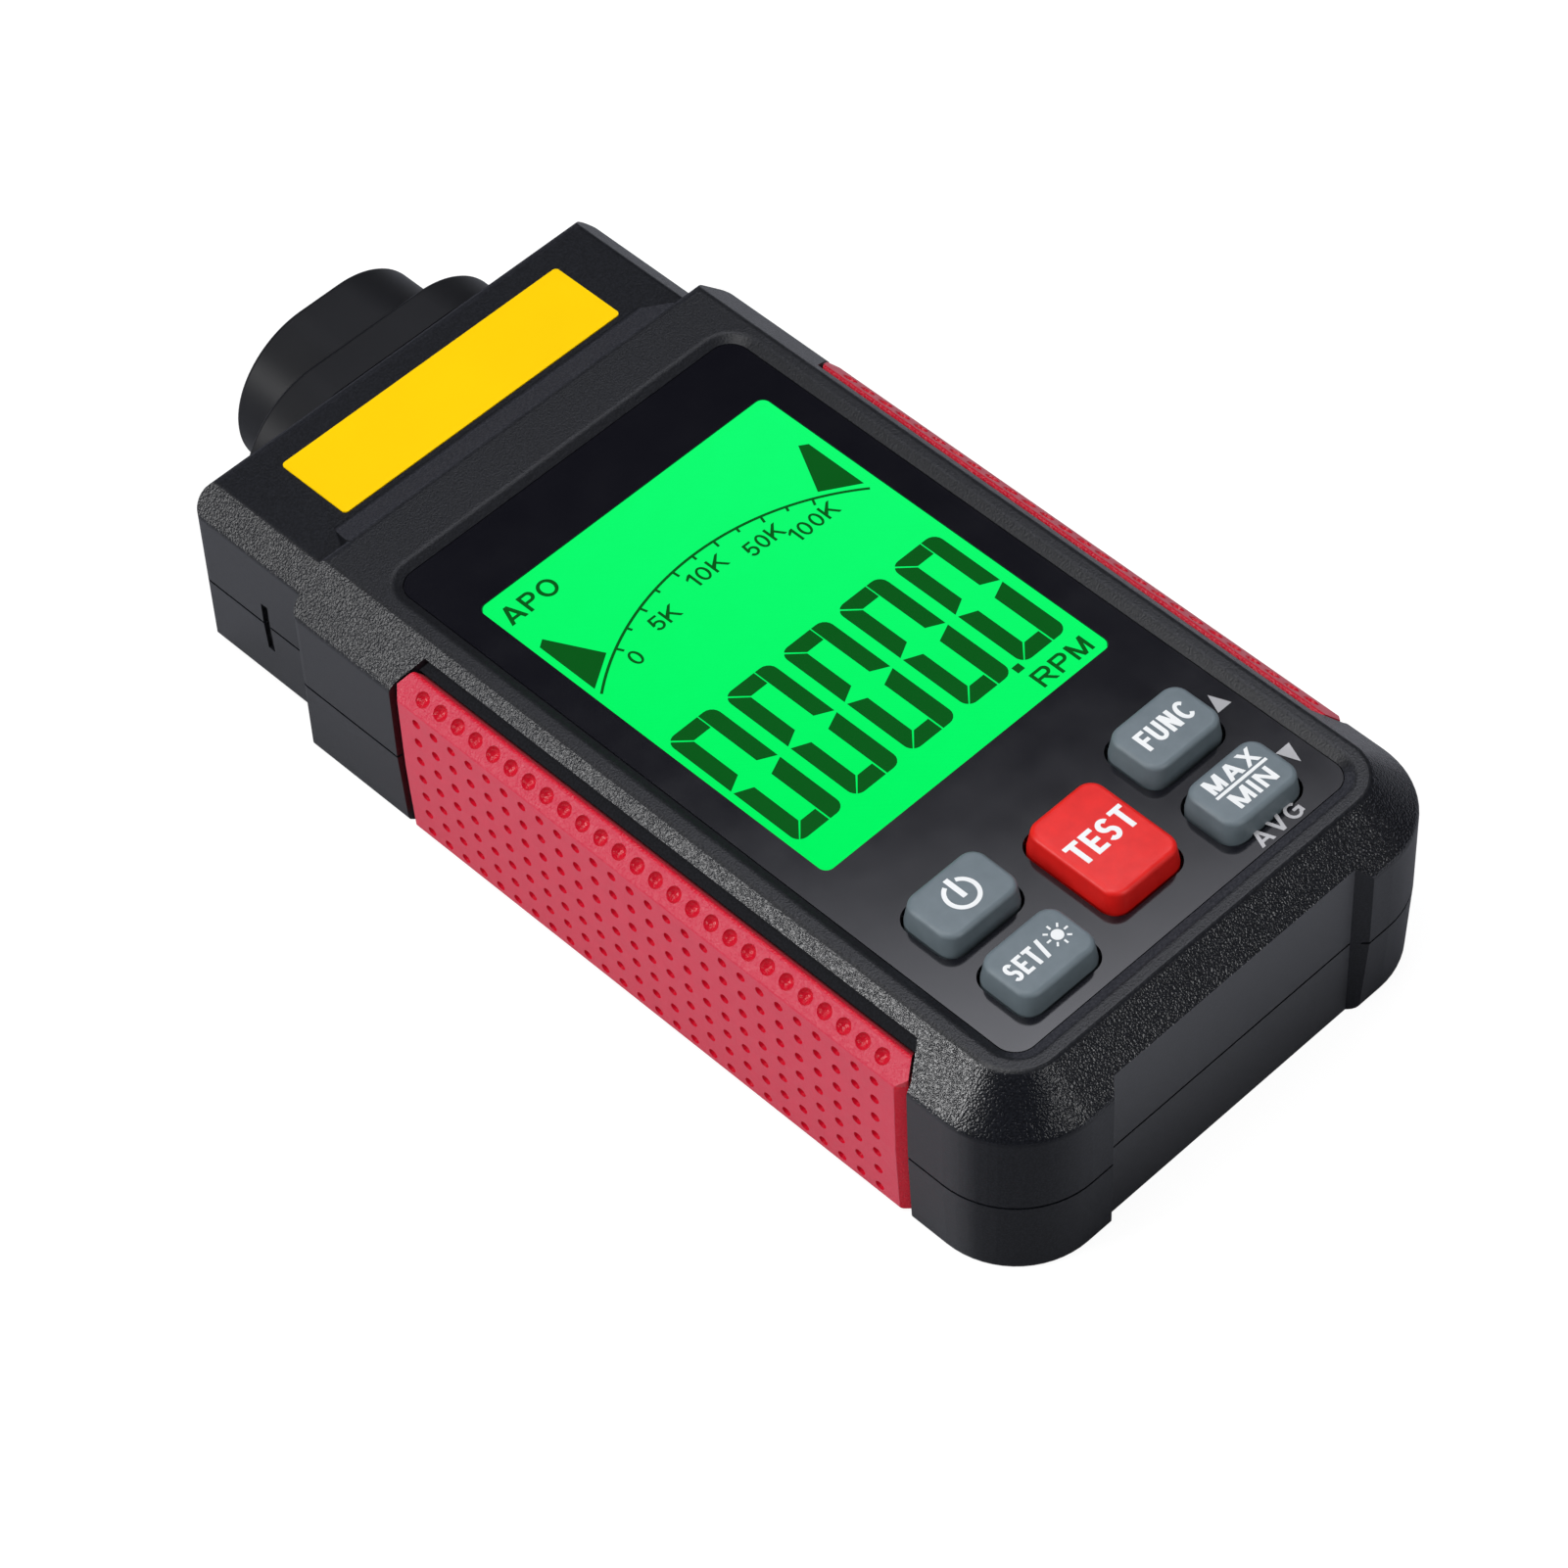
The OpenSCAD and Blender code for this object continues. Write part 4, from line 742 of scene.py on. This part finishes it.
mark = bmesh.new()
words(mark, "SET/", cap=2.35, width=5.0, centre_x=-15.9, baseline=-53.5, z=print_z, stem=0.44)
sun = Vector((-11.65, -52.2))
sun_r = 0.65
ray_start, ray_end, ray_half = 0.9, 1.4, 0.11
disc = bmesh.ops.create_circle(mark, cap_ends=True, segments=24, radius=sun_r,
                               matrix=Matrix.Translation((*sun, print_z)))
rise(mark, list({f for v in disc["verts"] for f in v.link_faces}), ink)
ray_count = 8
for i in range(ray_count):
    turn = math.radians(360 / ray_count * i)
    ray = Vector((math.cos(turn), math.sin(turn)))
    side = Vector((-math.sin(turn), math.cos(turn))) * ray_half
    near, far = sun + ray * ray_start, sun + ray * ray_end
    flat(mark, [near - side, far - side, far + side, near + side], print_z)
add_piece("set_mark", mark, white_ink, "set_key")

mark = bmesh.new()
words(mark, "TEST", cap=3.0, width=7.9, centre_x=0.0, baseline=-48.5, z=print_z, stem=0.6)
add_piece("test_mark", mark, white_ink, "test_key")

mark = bmesh.new()
words(mark, "FUNC", cap=2.5, width=6.9, centre_x=14.3, baseline=-43.35, z=print_z, stem=0.5)
add_piece("func_mark", mark, white_ink, "func_key")

mark = bmesh.new()
words(mark, "MAX", cap=1.95, width=6.7, centre_x=14.35, baseline=-51.6, z=print_z, stem=0.46)
words(mark, "MIN", cap=2.0, width=5.5, centre_x=14.35, baseline=-54.5, z=print_z, stem=0.46)
divider = rectangle(10.8, -52.175, 17.9, -51.825)
flat(mark, divider, print_z)
add_piece("max_min_mark", mark, white_ink, "max_min_key")


# Floor, softbox and lights
def sheet(name, x0, y0, x1, y1, z, material):
    mesh = bpy.data.meshes.new(name)
    mesh.from_pydata([(x, y, z) for x, y in rectangle(x0, y0, x1, y1)], [], [(0, 1, 2, 3)])
    mesh.materials.append(material)
    made = bpy.data.objects.new(name, mesh)
    bpy.context.collection.objects.link(made)
    return made


def floor_finish():
    """Plain pale floor: white to the camera with a faint shadow, grey in reflections with a painted
    lighter patch behind the rear end.
    """
    mottle = 300
    made = Finish("pale_floor")
    path = made.node("ShaderNodeLightPath")
    matt = made.node("ShaderNodeBsdfDiffuse")
    made.join(made.spread(made.noise(mottle, 2), 0.69, 0.71), matt.inputs["Color"])

    # Painted light: in reflections, a lighter patch painted on the floor behind the rear end
    mirrored = made.node("ShaderNodeBsdfDiffuse")
    x, y, _ = made.axes(made.place)
    floor_painted_light_patch = made.times(made.spread(x, 0, 1, -30 * MM, 0), made.spread(y, 1, 0, -80 * MM, -60 * MM))
    made.join(made.mix(floor_painted_light_patch, (0.4, 0.41, 0.45), (0.86, 0.88, 0.96)), mirrored.inputs["Color"])

    # To the camera, mostly its own light, so that the shadow stays faint
    shadowed = made.node("ShaderNodeBsdfDiffuse")
    shadowed.inputs["Color"].default_value = (0.16, 0.16, 0.16, 1)
    glow = made.node("ShaderNodeEmission")
    glow.inputs["Strength"].default_value = 0.92

    seen = made.layer("ShaderNodeAddShader", shadowed.outputs[0], glow.outputs[0])
    unseen = made.layer("ShaderNodeMixShader", path.outputs["Is Glossy Ray"],
                        matt.outputs[0], mirrored.outputs[0])
    return made.surface(made.layer("ShaderNodeMixShader", path.outputs["Is Camera Ray"],
                                   unseen, seen))


def softbox_finish():
    """Glowing sheet that fades from one corner, so that only the panel's near left mirrors it."""
    brightest = 5.3
    made = Finish("softbox")
    x, y, _ = made.axes(made.place)
    away = made.calc("ADD", made.spread(x, 0, 1, 0.5, 0.68, clamp=False),
                     made.spread(y, 0, 1, 0.43, 0.54, clamp=False))
    glow = made.node("ShaderNodeEmission")
    glow.inputs["Color"].default_value = (0.92, 0.93, 1.0, 1)
    made.join(made.spread(away, brightest, 0.0, -0.5, 1.4, interpolation_type="SMOOTHSTEP"),
              glow.inputs["Strength"])
    return made.surface(glow.outputs[0])


sheet("floor", -3, -3, 3, 3, 0, floor_finish())
softbox = sheet("softbox", 0.2, 0.12, 1.1, 1.2, 1.0, softbox_finish())
softbox.visible_camera = False


def lamp(name, place, aim, size, power):
    """A square lamp, in metres and watts."""
    light = bpy.data.lights.new(name, "AREA")
    light.shape = "RECTANGLE"
    light.size = size
    light.size_y = size
    light.energy = power
    made = bpy.data.objects.new(name, light)
    made.location = place
    made.rotation_euler = (Vector(aim) - Vector(place)).to_track_quat("-Z", "Y").to_euler()
    bpy.context.collection.objects.link(made)


lamp("top_lamp", place=(-0.3, 0.1, 1.1), aim=(0, 0, 0), size=0.6, power=6.5)
lamp("side_lamp", place=(-0.98, 0.44, 0.53), aim=(0, 0, 0.01), size=0.45, power=7.2)
lamp("front_lamp", place=(0.1, -0.95, 0.65), aim=(0, -0.03, 0.01), size=0.3, power=3.5)

world = bpy.data.worlds.new("studio")
world.use_nodes = True
background = world.node_tree.nodes["Background"]
background.inputs["Color"].default_value = (1, 1, 1, 1)
background.inputs["Strength"].default_value = 0.1
scene = bpy.context.scene
scene.world = world
scene.view_settings.view_transform = "Standard"

# Camera, as fitted to the straight edges of the case
right = Vector((0.707372, -0.706081, -0.032788))
down = Vector((-0.559473, -0.530941, -0.636468))
forward = Vector((0.431989, 0.468564, -0.770606))
place = Vector((-0.248496, -0.272293, 0.441785))
lens = bpy.data.cameras.new("camera")
lens.sensor_width = 36
lens.lens = 128.07
lens.clip_start = 0.01
camera = bpy.data.objects.new("camera", lens)
turn = Matrix((right, -down, -forward)).transposed().to_4x4()
camera.matrix_world = Matrix.Translation(place) @ turn
bpy.context.collection.objects.link(camera)
scene.camera = camera
